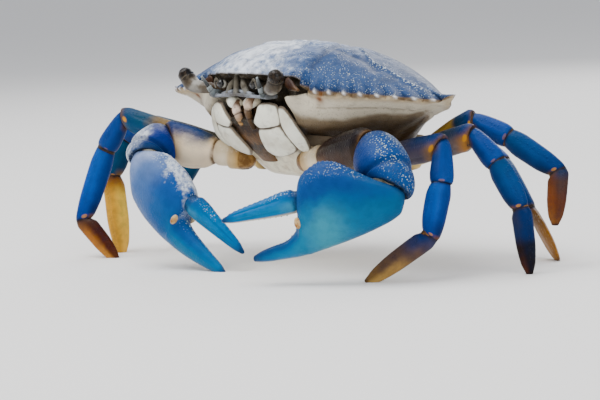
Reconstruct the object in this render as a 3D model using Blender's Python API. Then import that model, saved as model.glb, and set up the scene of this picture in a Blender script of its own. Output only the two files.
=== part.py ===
"""Blue swimming crab standing on tiptoe: life-size still model, in metres, +Z up.

The crab faces -Y and its left side is +X.  The trunk is modelled in its own frame, centred on the
plane of the shell's edge, and is then tipped up at the front.  Each limb is a chain of links that
starts at a socket of the trunk; a link is given by its length, heading and rise.  The finished model
stands on z = 0 with the origin under the middle of its box.
"""
import math

import bmesh
import bpy
from mathutils import Matrix, Vector

MM = 0.001

# ---- Driving dimensions, in millimetres and degrees ------------------------------------------------
SHELL_HALF_WIDTH = 74.0          # to the tip of the lateral spine
SHELL_TIP_Y = -9.0               # how far forward of the centre the lateral spine sits
SHELL_FRONT_Y = -35.7
SHELL_REAR_Y = 29.0
SHELL_DOME_HEIGHT = 15.5
SHELL_REAR_HALF_WIDTH = 21.0
EYE_SOCKET_X = (11.3, 27.8)      # inner and outer corners of the eye socket
TOOTH_COUNT = 8                  # side teeth between the eye socket and the spine
TOOTH_DEPTH = 2.4
SIDE_MARGIN_BULGE = 4.2
FLANK_DEPTH = 13.0               # from the shell's edge down to the leg sockets
FLANK_HALF_WIDTH = 33.0
CHEST_DEPTH = 24.4               # from the shell's edge down to the breastplate
CHEST_HALF_WIDTH = 17.5
BODY_HEIGHT = 50.5               # shell centre above the ground
BODY_PITCH = -9.5                # front tipped up
GAP = 0.3                        # clearance between touching pieces
SOCKET_LENGTH = 9.5              # coxa and ischium together, up to the long merus
EYE_RADIUS = 2.4
EYE_CENTRE = (24.0, -37.0, 2.3)
EYE_LOOK = (0.58, -0.4, 0.71)    # outwards, along and up
EYE_CUT = 0.45                   # where the cornea meets its stalk, in eye radii below the centre
EYESTALK_TOP_RADIUS = 2.3
ANTENNA_ROOT = (13.2, -34.0, -2.2)
ANTENNA_TIP = (14.8, -37.4, 2.0)
ANTENNA_RADII = (0.8, 0.35)

RING_SIDES = 10                  # facets round a leg
JOINT_BLEND = 3                  # how soon a link forgets the lean of its joint planes
FLOOR_Z = -BODY_HEIGHT

# The shell's edge, seen from above, on the left: the notched lip between the eyes.
FRONT_LIP = ((0.0, SHELL_FRONT_Y + 0.9), (2.6, SHELL_FRONT_Y - 0.2), (4.8, SHELL_FRONT_Y + 1.0),
             (7.4, SHELL_FRONT_Y), (9.2, SHELL_FRONT_Y + 1.6))
SIDE_TEETH_START = (27.8, -30.3)
SIDE_TEETH_END = (67.0, -11.0)
SPINE_REAR = (67.5, -5.4)        # where the spine runs into the shell's rear side
REAR_SIDE_STEPS = 9
SHELL_RINGS = (0.1, 0.3, 0.5, 0.68, 0.83, 0.94)
FLANK_RINGS = (0.05, 0.2, 0.45, 0.7, 1.0)

# Swellings of the back on the left half: across, along, half width, half length, height.
LOBES = ((9.5, -14.0, 9.0, 9.0, 0.9), (0.0, -4.0, 6.0, 7.0, 0.5), (6.5, 11.0, 6.0, 8.0, 0.9),
         (33.0, 2.0, 22.0, 13.0, 1.0), (31.0, -20.0, 9.0, 5.5, 0.6))
# The face is sunk behind the front lip, between the eye sockets.
FACE_HALF_WIDTH = 23.0
FACE_DEPTH = 3.0
# Eyestalk from its root in the socket to the bulb under the eye: across, along, up, radius.
EYESTALK_FORM = ((11.6, -29.2, -0.8, 1.4), (13.6, -31.8, -0.8, 1.5), (16.8, -33.6, -1.1, 1.6),
                 (20.0, -35.1, -0.9, 2.0), (22.2, -36.0, 0.1, 2.35))

# Breastplate, top to bottom: half width, front, rear, height.
CHEST_FORM = ((31.0, -23.6, 24.6, -FLANK_DEPTH - GAP), (28.0, -21.6, 23.4, -17.0),
              (22.5, -17.6, 21.0, -21.2), (CHEST_HALF_WIDTH, -13.6, 17.5, -CHEST_DEPTH))
# Tail flap, from its root forwards: along, height, half width.
TAIL_FLAP_FORM = ((27.6, -9.0, 13.0), (26.6, -16.0, 11.0), (23.4, -22.6, 9.0), (16.5, -26.8, 6.5),
                  (7.0, -26.6, 3.4), (-6.0, -26.0, 1.8))
TAIL_FLAP_THICKNESS = 2.0
# Mouth plate, top to bottom: along, height, inner edge, outer edge, depth.
MOUTH_PLATE_FORM = ((-33.2, -4.0, 8.4, 15.0, 1.6), (-33.2, -5.2, 7.0, 18.2, 2.0),
                    (-32.0, -9.4, 5.4, 19.2, 3.6), (-29.6, -13.6, 4.6, 19.4, 5.0),
                    (-25.4, -17.8, 3.0, 17.2, 5.6), (-22.4, -20.4, 2.2, 12.6, 5.2))
MOUTH_PLATE_SWEEP = 3.0          # how far the outer edge lies behind the inner one
MOUTH_PLATE_TILT = 1.2           # how far the back edge lies above the front one

# Sockets on the trunk, front to back, for the left side: across, along, up.
SOCKETS = ((17.0, -18.0, -21.0), (25.0, -10.0, -21.0), (28.0, 0.0, -20.0),
           (27.0, 10.0, -18.0), (24.0, 18.0, -14.0))

# Links of each limb as (length, heading, rise).  Heading 0 points straight out to the side and 90
# straight ahead.  The first link holds the socket pieces and the merus, then carpus, propodus, tip.
LEFT_LIMBS = (
    ((33.0, 2, 9), (20.0, 19, -32), (26.5, 142, -8), (23.0, 140, -11)),
    ((40.0, -9, 9), (11.5, 43, -64), (15.5, 84, -71), (23.0, 134, -34)),
    ((37.0, -14, 14), (11.5, -12, -42), (15.0, -15, -58), (19.5, -65, -84)),
    ((26.5, -28, 26), (12.5, -20, -23), (18.5, -25, -32), (16.0, 63, -76)),
    ((18.5, -75, 7), (14.0, -9, -32), (16.5, -8, -53), (18.5, -9, -56)),
)
RIGHT_LIMBS = (
    ((27.0, 26, 12), (13.0, 112, -20), (23.0, -168, -38), (23.0, -160, -36)),
    ((49.0, 22, 15), (12.5, 18, -50), (24.0, 68, -69), (17.5, -151, -48)),
    ((48.5, 20, 12), (11.0, 17, -18), (14.0, 24, -66), (26.5, 168, -78)),
    ((35.5, 10, 3), (11.5, 9, -8), (16.0, 24, -54), (19.0, 147, -76)),
    ((20.0, -55, 22), (12.0, -30, 12), (15.0, 2, 0), (20.0, 14, 6)),
)
# Compass direction that the broad side of each limb's links faces, from straight ahead outwards.
LEFT_FACING = (50, 50, 42, 40, 145)
RIGHT_FACING = (-20, -50, -50, -50, 100)

LIMB_NAMES = ("claw_leg", "walking_leg_1", "walking_leg_2", "walking_leg_3", "swimming_leg")
LINK_NAMES = ("base", "merus", "carpus", "propodus", "dactyl")

# Outlines of the links: (fraction of length, upper edge, lower edge, thickness), in millimetres
# across the link's axis.
BASE_FORM = ((0.0, 3.4, -3.4, 5.6), (0.35, 4.2, -4.2, 6.6), (0.8, 3.9, -3.9, 6.0), (1.0, 3.2, -3.2, 5.0))
CLAW_MERUS_FORM = ((0.0, 3.6, -3.6, 6.0), (0.2, 5.0, -4.6, 7.4), (0.6, 6.2, -5.6, 8.6),
                   (0.88, 6.2, -5.4, 8.6), (1.0, 4.6, -4.0, 6.4))
CLAW_CARPUS_FORM = ((0.0, 5.4, -4.0, 8.0), (0.18, 8.0, -5.8, 12.0), (0.45, 9.2, -6.6, 14.0),
                    (0.8, 8.2, -5.8, 12.0), (1.0, 4.8, -3.8, 7.6))
LEFT_PALM_FORM = ((0.0, 1.6, -3.4, 6.4), (0.13, 4.6, -8.0, 9.6), (0.32, 7.6, -10.6, 11.6),
                  (0.52, 10.0, -12.4, 12.6), (0.68, 10.6, -13.4, 12.4), (0.86, 9.0, -14.4, 11.2),
                  (0.99, 7.0, -15.0, 9.6), (1.05, -6.6, -15.0, 7.4), (1.16, -9.4, -15.2, 6.2),
                  (1.34, -11.2, -15.0, 4.6), (1.54, -13.0, -14.4, 1.4))
RIGHT_PALM_FORM = ((0.0, 2.6, -3.4, 6.4), (0.13, 4.8, -9.0, 9.6), (0.32, 6.2, -13.2, 11.6),
                   (0.6, 6.4, -14.6, 12.4), (0.84, 5.2, -14.8, 11.4), (0.98, 3.6, -14.6, 9.8),
                   (1.04, -4.2, -14.4, 8.2), (1.3, -5.6, -13.6, 6.2), (1.64, -6.0, -11.4, 4.2),
                   (1.96, -6.6, -8.0, 1.4))
FINGER_FORM = ((0.06, 4.6, -2.6, 6.6), (0.16, 5.2, -2.8, 6.4), (0.4, 3.9, -2.4, 5.2),
               (0.7, 2.4, -1.7, 3.8), (0.9, 1.3, -1.1, 2.4), (1.0, 0.5, -0.5, 1.2))
MERUS_FORM = ((0.0, 2.5, -2.5, 4.4), (0.25, 3.1, -3.1, 5.0), (0.7, 3.9, -3.9, 5.2),
              (0.92, 3.9, -3.8, 5.0), (1.0, 2.9, -2.7, 3.9))
CARPUS_FORM = ((0.0, 2.3, -2.1, 3.6), (0.3, 3.2, -2.7, 4.6), (0.75, 3.6, -3.3, 4.8), (1.0, 3.1, -2.9, 4.0))
PROPODUS_FORM = ((0.0, 3.0, -2.9, 4.0), (0.25, 3.6, -3.4, 4.6), (0.65, 3.4, -3.4, 4.2),
                 (0.92, 2.8, -2.8, 3.6), (1.0, 2.2, -2.2, 3.0))
DACTYL_FORM = ((0.0, 2.2, -2.2, 3.0), (0.13, 3.1, -3.0, 3.4), (0.5, 2.9, -2.9, 3.0),
               (0.8, 2.2, -2.3, 2.2), (1.0, 0.9, -1.0, 1.2))
PADDLE_FORM = ((0.0, 1.6, -1.6, 2.2), (0.15, 3.8, -3.6, 2.2), (0.4, 5.8, -5.6, 1.9),
               (0.65, 6.0, -5.8, 1.7), (0.85, 4.4, -4.4, 1.4), (1.0, 1.6, -1.6, 1.0))


# ---- Scene, materials and small geometry tools -----------------------------------------------------
def clear_scene():
    for old in list(bpy.data.objects):
        bpy.data.objects.remove(old, do_unlink=True)


def new_collection(name):
    collection = bpy.data.collections.new(name)
    bpy.context.scene.collection.children.link(collection)
    return collection


def shell_material(name, colour, roughness):
    material = bpy.data.materials.new(name)
    material.use_nodes = True
    shader = material.node_tree.nodes["Principled BSDF"]
    shader.inputs["Base Color"].default_value = (*colour, 1.0)
    shader.inputs["Roughness"].default_value = roughness
    shader.inputs["Metallic"].default_value = 0.0
    return material


def smooth_blend(t):
    return t * t * (3.0 - 2.0 * t)


def mix(a, b, t):
    return a + (b - a) * t


def between(value, low, high):
    """0 at low, 1 at high and beyond, with soft ends; low may be the larger."""
    return smooth_blend(min(max((value - low) / (high - low), 0.0), 1.0))


def direction(side, heading, rise):
    """Unit vector of a link; side is +1 for the crab's left and -1 for its right."""
    h, r = math.radians(heading), math.radians(rise)
    return Vector((side * math.cos(h) * math.cos(r), -math.sin(h) * math.cos(r), math.sin(r)))


def loft(rings):
    """Closed solid through a row of rings with equal counts, each ring right-handed along the row."""
    bm = bmesh.new()
    rows = [[bm.verts.new(Vector(point) * MM) for point in ring] for ring in rings]
    count = len(rows[0])
    for lower, upper in zip(rows, rows[1:]):
        for k in range(count):
            n = (k + 1) % count
            bm.faces.new((lower[k], lower[n], upper[n], upper[k]))
    bm.faces.new(list(reversed(rows[0])))
    bm.faces.new(rows[-1])
    bmesh.ops.recalc_face_normals(bm, faces=bm.faces[:])
    return bm


def add_object(name, bm, material, collection, parent):
    mesh = bpy.data.meshes.new(name)
    bm.to_mesh(mesh)
    bm.free()
    mesh.shade_smooth()
    mesh.set_sharp_from_angle(angle=math.radians(35))
    mesh.materials.append(material)
    piece = bpy.data.objects.new(name, mesh)
    collection.objects.link(piece)
    piece.parent = parent
    return piece


def grown_copy(source, collection):
    """A hidden copy of a piece, grown by the clearance, to cut its neighbours with."""
    bm = bmesh.new()
    bm.from_mesh(source.data)
    bm.normal_update()
    for vertex in bm.verts:
        vertex.co += vertex.normal * GAP * 1.25 * MM
    mesh = bpy.data.meshes.new("cutter_" + source.name)
    bm.to_mesh(mesh)
    bm.free()
    cutter = bpy.data.objects.new("cutter_" + source.name, mesh)
    collection.objects.link(cutter)
    cutter.parent = source.parent
    cutter.hide_render = True
    cutter.display_type = "WIRE"
    return cutter


def cut_away(piece, cutter):
    boolean = piece.modifiers.new("clear_of_" + cutter.name, "BOOLEAN")
    boolean.operation = "DIFFERENCE"
    boolean.solver = "EXACT"
    boolean.object = cutter


# ---- Carapace ---------------------------------------------------------------------------------------
def side_arc(t):
    """Point on the toothed side margin: t = 0 at the eye socket's outer corner, 1 at the spine's root."""
    start, end = Vector(SIDE_TEETH_START), Vector(SIDE_TEETH_END)
    bulge = SIDE_MARGIN_BULGE * math.sin(math.pi * t)
    across = Vector((end.y - start.y, -(end.x - start.x))).normalized()
    return start.lerp(end, t) + across * bulge


def half_outline():
    """Half of the shell's edge seen from above, from the middle of the front round to the rear."""
    inner, outer = EYE_SOCKET_X
    socket = [(inner, -34.7), (inner + 1.6, -32.0), (inner + 6.0, -30.6), (outer - 5.0, -29.8),
              (outer - 2.0, -28.6), (outer, -30.9)]
    teeth = []
    for tooth in range(TOOTH_COUNT):
        notch = side_arc((tooth + 0.28) / TOOTH_COUNT)
        tip = side_arc((tooth + 0.95) / TOOTH_COUNT)
        inward = Vector((-0.45, 0.9)) * TOOTH_DEPTH
        teeth += [tuple(notch + inward), tuple(tip)]
    spine = [(SIDE_TEETH_END[0] + 1.6, SHELL_TIP_Y + 0.4), (SHELL_HALF_WIDTH, SHELL_TIP_Y), SPINE_REAR]
    flank_rear = []
    for k in range(1, REAR_SIDE_STEPS):
        t = k / REAR_SIDE_STEPS
        x = mix(SPINE_REAR[0], SHELL_REAR_HALF_WIDTH + 3.0, t)
        y = mix(SPINE_REAR[1], SHELL_REAR_Y - 2.0, t)
        flank_rear.append((x, y + 0.8 * math.sin(math.pi * t)))
    rear = [(SHELL_REAR_HALF_WIDTH, SHELL_REAR_Y - 0.8), (SHELL_REAR_HALF_WIDTH * 0.6, SHELL_REAR_Y),
            (0.0, SHELL_REAR_Y)]
    return list(FRONT_LIP) + socket + teeth + spine + flank_rear + rear


def whole_outline():
    half = half_outline()
    mirrored = [(-x, y) for x, y in reversed(half[1:-1])]
    return half + mirrored


def smoothed(points, rounds):
    """The same closed outline with its teeth and corners relaxed."""
    for _ in range(rounds):
        points = [tuple((points[k - 1][i] + 2 * points[k][i] + points[(k + 1) % len(points)][i]) / 4
                        for i in (0, 1)) for k in range(len(points))]
    return points


def edge_height(x, y):
    """Height of the shell's edge: the front lip and the spines sit a little above the side teeth."""
    front_lip = 4.2 * between(abs(x), 31.0, 22.0) * (1.0 if y < 0 else 0.0)
    spine_lift = 2.0 * max(0.0, (abs(x) - 66.0) / 8.0)
    return -1.0 + front_lip + spine_lift + (1.5 if y > 20 else 0.0)


def dome_height(x, y, s):
    """Height of the shell's back over a point at the fraction s from the centre to the edge."""
    sideways = min(1.0, (x / SHELL_HALF_WIDTH) ** 2 / max(s * s, 1e-6))
    rearward = 0.5 if y > 0 else 0.0
    fullness = (1.0 - s ** mix(2.8 - rearward, 1.35, sideways)) ** mix(0.8, 1.0, sideways)
    lobes = sum(height * math.exp(-((abs(x) - across) / half_x) ** 2 - ((y - along) / half_y) ** 2)
                for across, along, half_x, half_y, height in LOBES)
    return mix(edge_height(x, y), SHELL_DOME_HEIGHT, fullness) + lobes * between(s, 1.0, 0.82)


def face_hollow(x, y, fraction):
    """How far the face is sunk behind the lip, at a fraction of the way down the flank."""
    across = between(abs(x), FACE_HALF_WIDTH, FACE_HALF_WIDTH - 3.0) * (1.0 if y < 0 else 0.0)
    return FACE_DEPTH * across * between(fraction, 0.0, 0.14) * between(fraction, 0.9, 0.6)


def flank_ring(outline, fraction):
    """Ring of the shell's underside: fraction 0 at the edge, 1 at the leg sockets."""
    ring = []
    for x, y in outline:
        angle = math.atan2(y / 30.0, x / FLANK_HALF_WIDTH)
        inner_x = FLANK_HALF_WIDTH * math.cos(angle)
        inner_y = 1.5 + (24.0 if y > 0 else 28.0) * math.sin(angle)
        z = mix(edge_height(x, y) - 0.8, -FLANK_DEPTH, fraction ** 1.25)
        across, along = mix(x, inner_x, fraction), mix(y, inner_y, fraction)
        ring.append((across, along + face_hollow(across, along, fraction), z))
    return ring


def make_carapace(collection, parent):
    outline = whole_outline()
    relaxed = smoothed(outline, 6)
    rings = []
    for s in SHELL_RINGS:
        rings.append([(x * s, (y + 1.0) * s - 1.0, dome_height(x * s, y * s, s)) for x, y in relaxed])
    rings.append([(x, y, edge_height(x, y)) for x, y in outline])
    rings += [flank_ring(relaxed, fraction) for fraction in FLANK_RINGS]
    material = shell_material("carapace_blue_grey", (0.13, 0.2, 0.42), 0.5)
    return add_object("carapace", loft(rings), material, collection, parent)


# ---- Chest, tail flap and mouth ---------------------------------------------------------------------
def oval_ring(half_x, front_y, rear_y, z, count=20):
    ring = []
    for k in range(count):
        angle = 2 * math.pi * k / count
        middle, half_y = (front_y + rear_y) / 2, (rear_y - front_y) / 2
        squarish = 0.8
        c, s = math.cos(angle), math.sin(angle)
        x = half_x * math.copysign(abs(c) ** squarish, c)
        y = middle + half_y * math.copysign(abs(s) ** squarish, s)
        ring.append((x, y, z))
    return ring


def make_chest(collection, parent):
    rings = [oval_ring(*row) for row in CHEST_FORM]
    material = shell_material("breastplate_cream", (0.62, 0.56, 0.47), 0.45)
    return add_object("chest", loft(rings), material, collection, parent)


def make_tail_flap(collection, parent):
    """The narrow flap of a male, folded forward under the breastplate from the shell's rear edge."""
    rings = []
    last = len(TAIL_FLAP_FORM) - 1
    thickness = TAIL_FLAP_THICKNESS / 2
    for k, (y, z, half) in enumerate(TAIL_FLAP_FORM):
        before, after = TAIL_FLAP_FORM[max(k - 1, 0)], TAIL_FLAP_FORM[min(k + 1, last)]
        slope = Vector((after[0] - before[0], after[1] - before[1])).normalized()
        normal = Vector((-slope.y, slope.x))
        corners = ((-half, thickness), (half, thickness), (half * 0.9, -thickness), (-half * 0.9, -thickness))
        rings.append([(x, y + normal.x * n, z + normal.y * n) for x, n in corners])
    material = shell_material("tail_flap_cream", (0.66, 0.6, 0.52), 0.45)
    return add_object("tail_flap", loft(rings), material, collection, parent)


def make_mouthparts(side, name, collection, parent):
    """Third maxilliped with its outer branch: one door of the pair that closes the mouth."""
    rings = []
    sweep = MOUTH_PLATE_SWEEP
    for y, z, inner, outer, depth in MOUTH_PLATE_FORM:
        back, back_z = y + depth, z + MOUTH_PLATE_TILT
        ring = [(side * inner, y, z), (side * mix(inner, outer, 0.6), y + sweep * 0.3, z),
                (side * outer, y + sweep, z), (side * outer, back + sweep, back_z),
                (side * inner, back, back_z)]
        rings.append(ring if side > 0 else list(reversed(ring)))
    material = shell_material(name + "_ivory", (0.7, 0.66, 0.58), 0.4)
    return add_object(name, loft(rings), material, collection, parent)


# ---- Eyes and feelers -------------------------------------------------------------------------------
def aligned_matrix(axis, origin):
    """Matrix whose +Z runs along the axis, placed at a point given in millimetres."""
    turn = axis.to_track_quat("Z", "Y").to_matrix().to_4x4()
    return Matrix.Translation(Vector(origin) * MM) @ turn


def eye_axis(side):
    across, along, up = EYE_LOOK
    return Vector((side * across, along, up)).normalized()


def make_eye(side, name, collection, parent):
    bm = bmesh.new()
    bmesh.ops.create_uvsphere(bm, u_segments=14, v_segments=8, radius=EYE_RADIUS * MM)
    cut = -EYE_CUT * EYE_RADIUS * MM
    geometry = bm.verts[:] + bm.edges[:] + bm.faces[:]
    sliced = bmesh.ops.bisect_plane(bm, geom=geometry, plane_co=(0, 0, cut), plane_no=(0, 0, 1),
                                    clear_inner=True)
    rim = [item for item in sliced["geom_cut"] if isinstance(item, bmesh.types.BMEdge)]
    bmesh.ops.contextual_create(bm, geom=rim)
    bmesh.ops.recalc_face_normals(bm, faces=bm.faces[:])
    x, y, z = EYE_CENTRE
    bmesh.ops.transform(bm, matrix=aligned_matrix(eye_axis(side), (side * x, y, z)), verts=bm.verts[:])
    material = shell_material(name + "_dark", (0.03, 0.02, 0.015), 0.12)
    return add_object(name, bm, material, collection, parent)


def ring_round(centre, axis, radius, count=12):
    """Ring of points round an axis, turned alike for every ring of a tube."""
    sideways = axis.cross(Vector((0.0, 0.0, 1.0))).normalized()
    upwards = sideways.cross(axis)
    angles = [2 * math.pi * k / count for k in range(count)]
    return [centre + (sideways * math.cos(angle) + upwards * math.sin(angle)) * radius for angle in angles]


def make_eyestalk(side, name, collection, parent):
    """Bent stalk that leaves the inner corner of the eye socket and swells under the eye."""
    x, y, z = EYE_CENTRE
    top = Vector((side * x, y, z)) - eye_axis(side) * (EYE_CUT * EYE_RADIUS + GAP)
    centres = [Vector((side * across, along, up)) for across, along, up, _ in EYESTALK_FORM] + [top]
    radii = [radius for *_, radius in EYESTALK_FORM] + [EYESTALK_TOP_RADIUS]
    last = len(centres) - 1
    axes = [(centres[min(k + 1, last)] - centres[max(k - 1, 0)]).normalized() for k in range(last)]
    axes.append(eye_axis(side))
    rings = [ring_round(*row) for row in zip(centres, axes, radii)]
    material = shell_material(name + "_grey", (0.5, 0.5, 0.47), 0.5)
    return add_object(name, loft(rings), material, collection, parent)


def make_antenna(side, name, collection, parent):
    root, tip = Vector(ANTENNA_ROOT), Vector(ANTENNA_TIP)
    root.x, tip.x = side * root.x, side * tip.x
    thick, thin = ANTENNA_RADII
    bm = bmesh.new()
    bmesh.ops.create_cone(bm, cap_ends=True, segments=8, radius1=thick * MM, radius2=thin * MM,
                          depth=(tip - root).length * MM)
    middle = (root + tip) / 2
    bmesh.ops.transform(bm, matrix=aligned_matrix(tip - root, middle), verts=bm.verts[:])
    material = shell_material(name + "_tan", (0.45, 0.33, 0.2), 0.5)
    return add_object(name, bm, material, collection, parent)


# ---- Limbs ------------------------------------------------------------------------------------------
def trunk_matrix():
    return Matrix.Rotation(math.radians(BODY_PITCH), 4, "X")


def link_frame(start, end, side, facing):
    """Axis, broad direction and thin direction of a link whose broad side looks to a compass point."""
    axis = (end - start).normalized()
    look = math.radians(facing)
    thin = Vector((side * math.sin(look), -math.cos(look), 0.0))
    thin = (thin - axis * thin.dot(axis)).normalized()
    broad = axis.cross(thin)
    if broad.dot(Vector((side * 0.35, 0.0, 1.0))) < 0:
        broad, thin = -broad, -thin
    return axis, broad, thin


def slope_of_plane(normal, axis, broad, thin):
    """How fast a joint plane leans along the link, for each step across it."""
    along = normal.dot(axis)
    return -normal.dot(thin) / along, -normal.dot(broad) / along


def link_rings(start, end, form, frame, start_normal, end_normal):
    """Rings of a link between its two joint planes, which lean by half of the bend at the joint."""
    axis, broad, thin = frame
    length = (end - start).length
    start_slope = slope_of_plane(start_normal, axis, broad, thin)
    end_slope = slope_of_plane(end_normal, axis, broad, thin)
    rings = []
    for t, upper, lower, thickness in form:
        middle, half = (upper + lower) / 2, (upper - lower) / 2
        ring = []
        for k in range(RING_SIDES):
            angle = 2 * math.pi * (k + 0.5) / RING_SIDES
            across = thickness / 2 * math.cos(angle)
            up = middle + half * math.sin(angle)
            near = start_slope[0] * across + start_slope[1] * up
            far = end_slope[0] * across + end_slope[1] * up
            along = length * t + near * (1 - t) ** JOINT_BLEND + far * max(t, 0.0) ** JOINT_BLEND
            if t <= 1.0:
                along = min(max(along, near + GAP / 2), length + far - GAP / 2)
            point = start + axis * along + thin * across + broad * up
            point.z = max(point.z, FLOOR_Z)
            ring.append(tuple(point))
        rings.append(ring)
    return rings


def limb_forms(side, limb):
    if limb == 0:
        palm_form = LEFT_PALM_FORM if side > 0 else RIGHT_PALM_FORM
        return BASE_FORM, CLAW_MERUS_FORM, CLAW_CARPUS_FORM, palm_form, FINGER_FORM
    if limb == 4:
        return MERUS_FORM, CARPUS_FORM, PROPODUS_FORM, PADDLE_FORM
    return BASE_FORM, MERUS_FORM, CARPUS_FORM, PROPODUS_FORM, DACTYL_FORM


def limb_joints(side, limb, links):
    """Joint points of a limb; all but the short swimming leg have a base parted from the merus."""
    across, along, up = SOCKETS[limb]
    points = [trunk_matrix() @ Vector((side * across, along, up))]
    for length, heading, rise in links:
        points.append(points[-1] + direction(side, heading, rise) * length)
    if limb < 4:
        first = (points[1] - points[0]).normalized()
        points.insert(1, points[0] + first * SOCKET_LENGTH)
    return points


LINK_COLOURS = (
    ((0.66, 0.55, 0.34), (0.45, 0.42, 0.55), (0.03, 0.13, 0.5), (0.03, 0.22, 0.62), (0.04, 0.3, 0.7)),
    ((0.6, 0.45, 0.14), (0.3, 0.3, 0.45), (0.02, 0.1, 0.45), (0.02, 0.14, 0.5), (0.12, 0.08, 0.06)),
    ((0.6, 0.45, 0.14), (0.3, 0.3, 0.45), (0.02, 0.1, 0.45), (0.02, 0.14, 0.5), (0.5, 0.33, 0.1)),
)


def link_colour(limb, link_name):
    kind = 0 if limb == 0 else (2 if limb == 4 else 1)
    return LINK_COLOURS[kind][LINK_NAMES.index(link_name)]


def make_limb(side, limb, links, facing, collection, parent):
    points = limb_joints(side, limb, links)
    axes = [(b - a).normalized() for a, b in zip(points, points[1:])]
    normals = [axes[0]]
    normals += [(a + b).normalized() for a, b in zip(axes, axes[1:])]
    normals.append(axes[-1])
    side_name = "left" if side > 0 else "right"
    forms = limb_forms(side, limb)
    link_names = LINK_NAMES[-len(forms):]
    pieces = []
    for link, form in enumerate(forms):
        start, end = points[link], points[link + 1]
        frame = link_frame(start, end, side, facing)
        end_normal = axes[link] if limb == 0 and link == 3 else normals[link + 1]
        start_normal = axes[link] if limb == 0 and link == 4 else normals[link]
        rings = link_rings(start, end, form, frame, start_normal, end_normal)
        name = "_".join((LIMB_NAMES[limb], side_name, link_names[link]))
        material = shell_material(name + "_shell", link_colour(limb, link_names[link]), 0.35)
        pieces.append(add_object(name, loft(rings), material, collection, parent))
    return pieces


# ---- Assembly ---------------------------------------------------------------------------------------
def stand_on_ground(root, pieces):
    """Move the whole crab so that the middle of its box's underside is the origin."""
    bpy.context.view_layer.update()
    depsgraph = bpy.context.evaluated_depsgraph_get()
    low, high = Vector((1e9, 1e9, 1e9)), Vector((-1e9, -1e9, -1e9))
    for piece in pieces:
        evaluated = piece.evaluated_get(depsgraph)
        for corner in evaluated.bound_box:
            point = evaluated.matrix_world @ Vector(corner)
            low = Vector(map(min, low, point))
            high = Vector(map(max, high, point))
    root.location = (-(low.x + high.x) / 2, -(low.y + high.y) / 2, BODY_HEIGHT * MM)
    bpy.context.view_layer.update()


def main():
    clear_scene()
    crab = new_collection("blue_swimming_crab")
    helpers = new_collection("cutters")
    root = bpy.data.objects.new("crab_root", None)
    crab.objects.link(root)
    trunk = bpy.data.objects.new("trunk_pitch", None)
    crab.objects.link(trunk)
    trunk.parent = root
    trunk.rotation_euler.x = math.radians(BODY_PITCH)

    carapace = make_carapace(crab, trunk)
    chest = make_chest(crab, trunk)
    tail_flap = make_tail_flap(crab, trunk)
    shell_cutter = grown_copy(carapace, helpers)
    chest_cutter = grown_copy(chest, helpers)
    cut_away(tail_flap, chest_cutter)
    cut_away(tail_flap, shell_cutter)
    pieces = [carapace, chest, tail_flap]

    for side, side_name in ((1, "left"), (-1, "right")):
        mouth = make_mouthparts(side, "mouthparts_" + side_name, crab, trunk)
        stalk = make_eyestalk(side, "eyestalk_" + side_name, crab, trunk)
        eye = make_eye(side, "eye_" + side_name, crab, trunk)
        antenna = make_antenna(side, "antenna_" + side_name, crab, trunk)
        for piece in (mouth, stalk, antenna, eye):
            cut_away(piece, shell_cutter)
        cut_away(mouth, chest_cutter)
        pieces += [mouth, stalk, eye, antenna]
        limbs, facings = (LEFT_LIMBS, LEFT_FACING) if side > 0 else (RIGHT_LIMBS, RIGHT_FACING)
        for limb, links in enumerate(limbs):
            links_made = make_limb(side, limb, links, facings[limb], crab, root)
            cut_away(links_made[0], chest_cutter)
            cut_away(links_made[0], shell_cutter)
            pieces += links_made
    stand_on_ground(root, pieces)


main()
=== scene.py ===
"""Looks of the blue swimming crab: shell, face, claws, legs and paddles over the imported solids.

Sizes are in millimetres in the frames that the solids use: the trunk's own frame, tipped up at the
front, and the standing frame for the limbs.  The crab faces -Y and its left side is +X.
"""
import math

import bpy
import numpy as np
from mathutils import Matrix, Vector


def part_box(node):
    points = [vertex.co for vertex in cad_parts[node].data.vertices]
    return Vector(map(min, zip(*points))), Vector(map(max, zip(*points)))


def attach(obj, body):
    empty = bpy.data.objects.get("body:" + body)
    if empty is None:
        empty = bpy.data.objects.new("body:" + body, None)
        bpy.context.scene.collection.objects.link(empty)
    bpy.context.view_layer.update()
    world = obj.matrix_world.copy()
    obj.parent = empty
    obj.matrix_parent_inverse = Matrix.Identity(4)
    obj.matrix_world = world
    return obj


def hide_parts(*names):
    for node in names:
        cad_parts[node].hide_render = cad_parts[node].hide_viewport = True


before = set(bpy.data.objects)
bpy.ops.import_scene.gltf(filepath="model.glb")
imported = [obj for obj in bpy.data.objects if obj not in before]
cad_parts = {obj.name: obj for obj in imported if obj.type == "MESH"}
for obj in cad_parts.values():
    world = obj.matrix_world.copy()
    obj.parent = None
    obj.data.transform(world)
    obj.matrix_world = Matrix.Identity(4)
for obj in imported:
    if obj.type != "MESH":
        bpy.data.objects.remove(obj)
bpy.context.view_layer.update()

# ---- Camera -----------------------------------------------------------------------------------------
# A long lens looks at the crab's left front corner from low down, and is rolled slightly.
# It is placed from the middle of the shell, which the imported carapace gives.
MM = 0.001
BODY_HEIGHT = 50.5               # middle of the trunk above the ground
TRUNK_BEHIND_LIP = 34.88         # middle of the trunk behind the shell's foremost point
shell_low, shell_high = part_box("carapace")
TRUNK_CENTRE = np.array(((shell_low.x + shell_high.x) / 2 / MM, shell_low.y / MM + TRUNK_BEHIND_LIP,
                         BODY_HEIGHT))
CAMERA_TURN, CAMERA_RISE, CAMERA_ROLL = (math.radians(angle) for angle in (55.0, 5.0, -2.5))
CAMERA_DISTANCE = 919.0
CAMERA_AIM_ACROSS, CAMERA_AIM_UP = -10.3, -31.4

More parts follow.
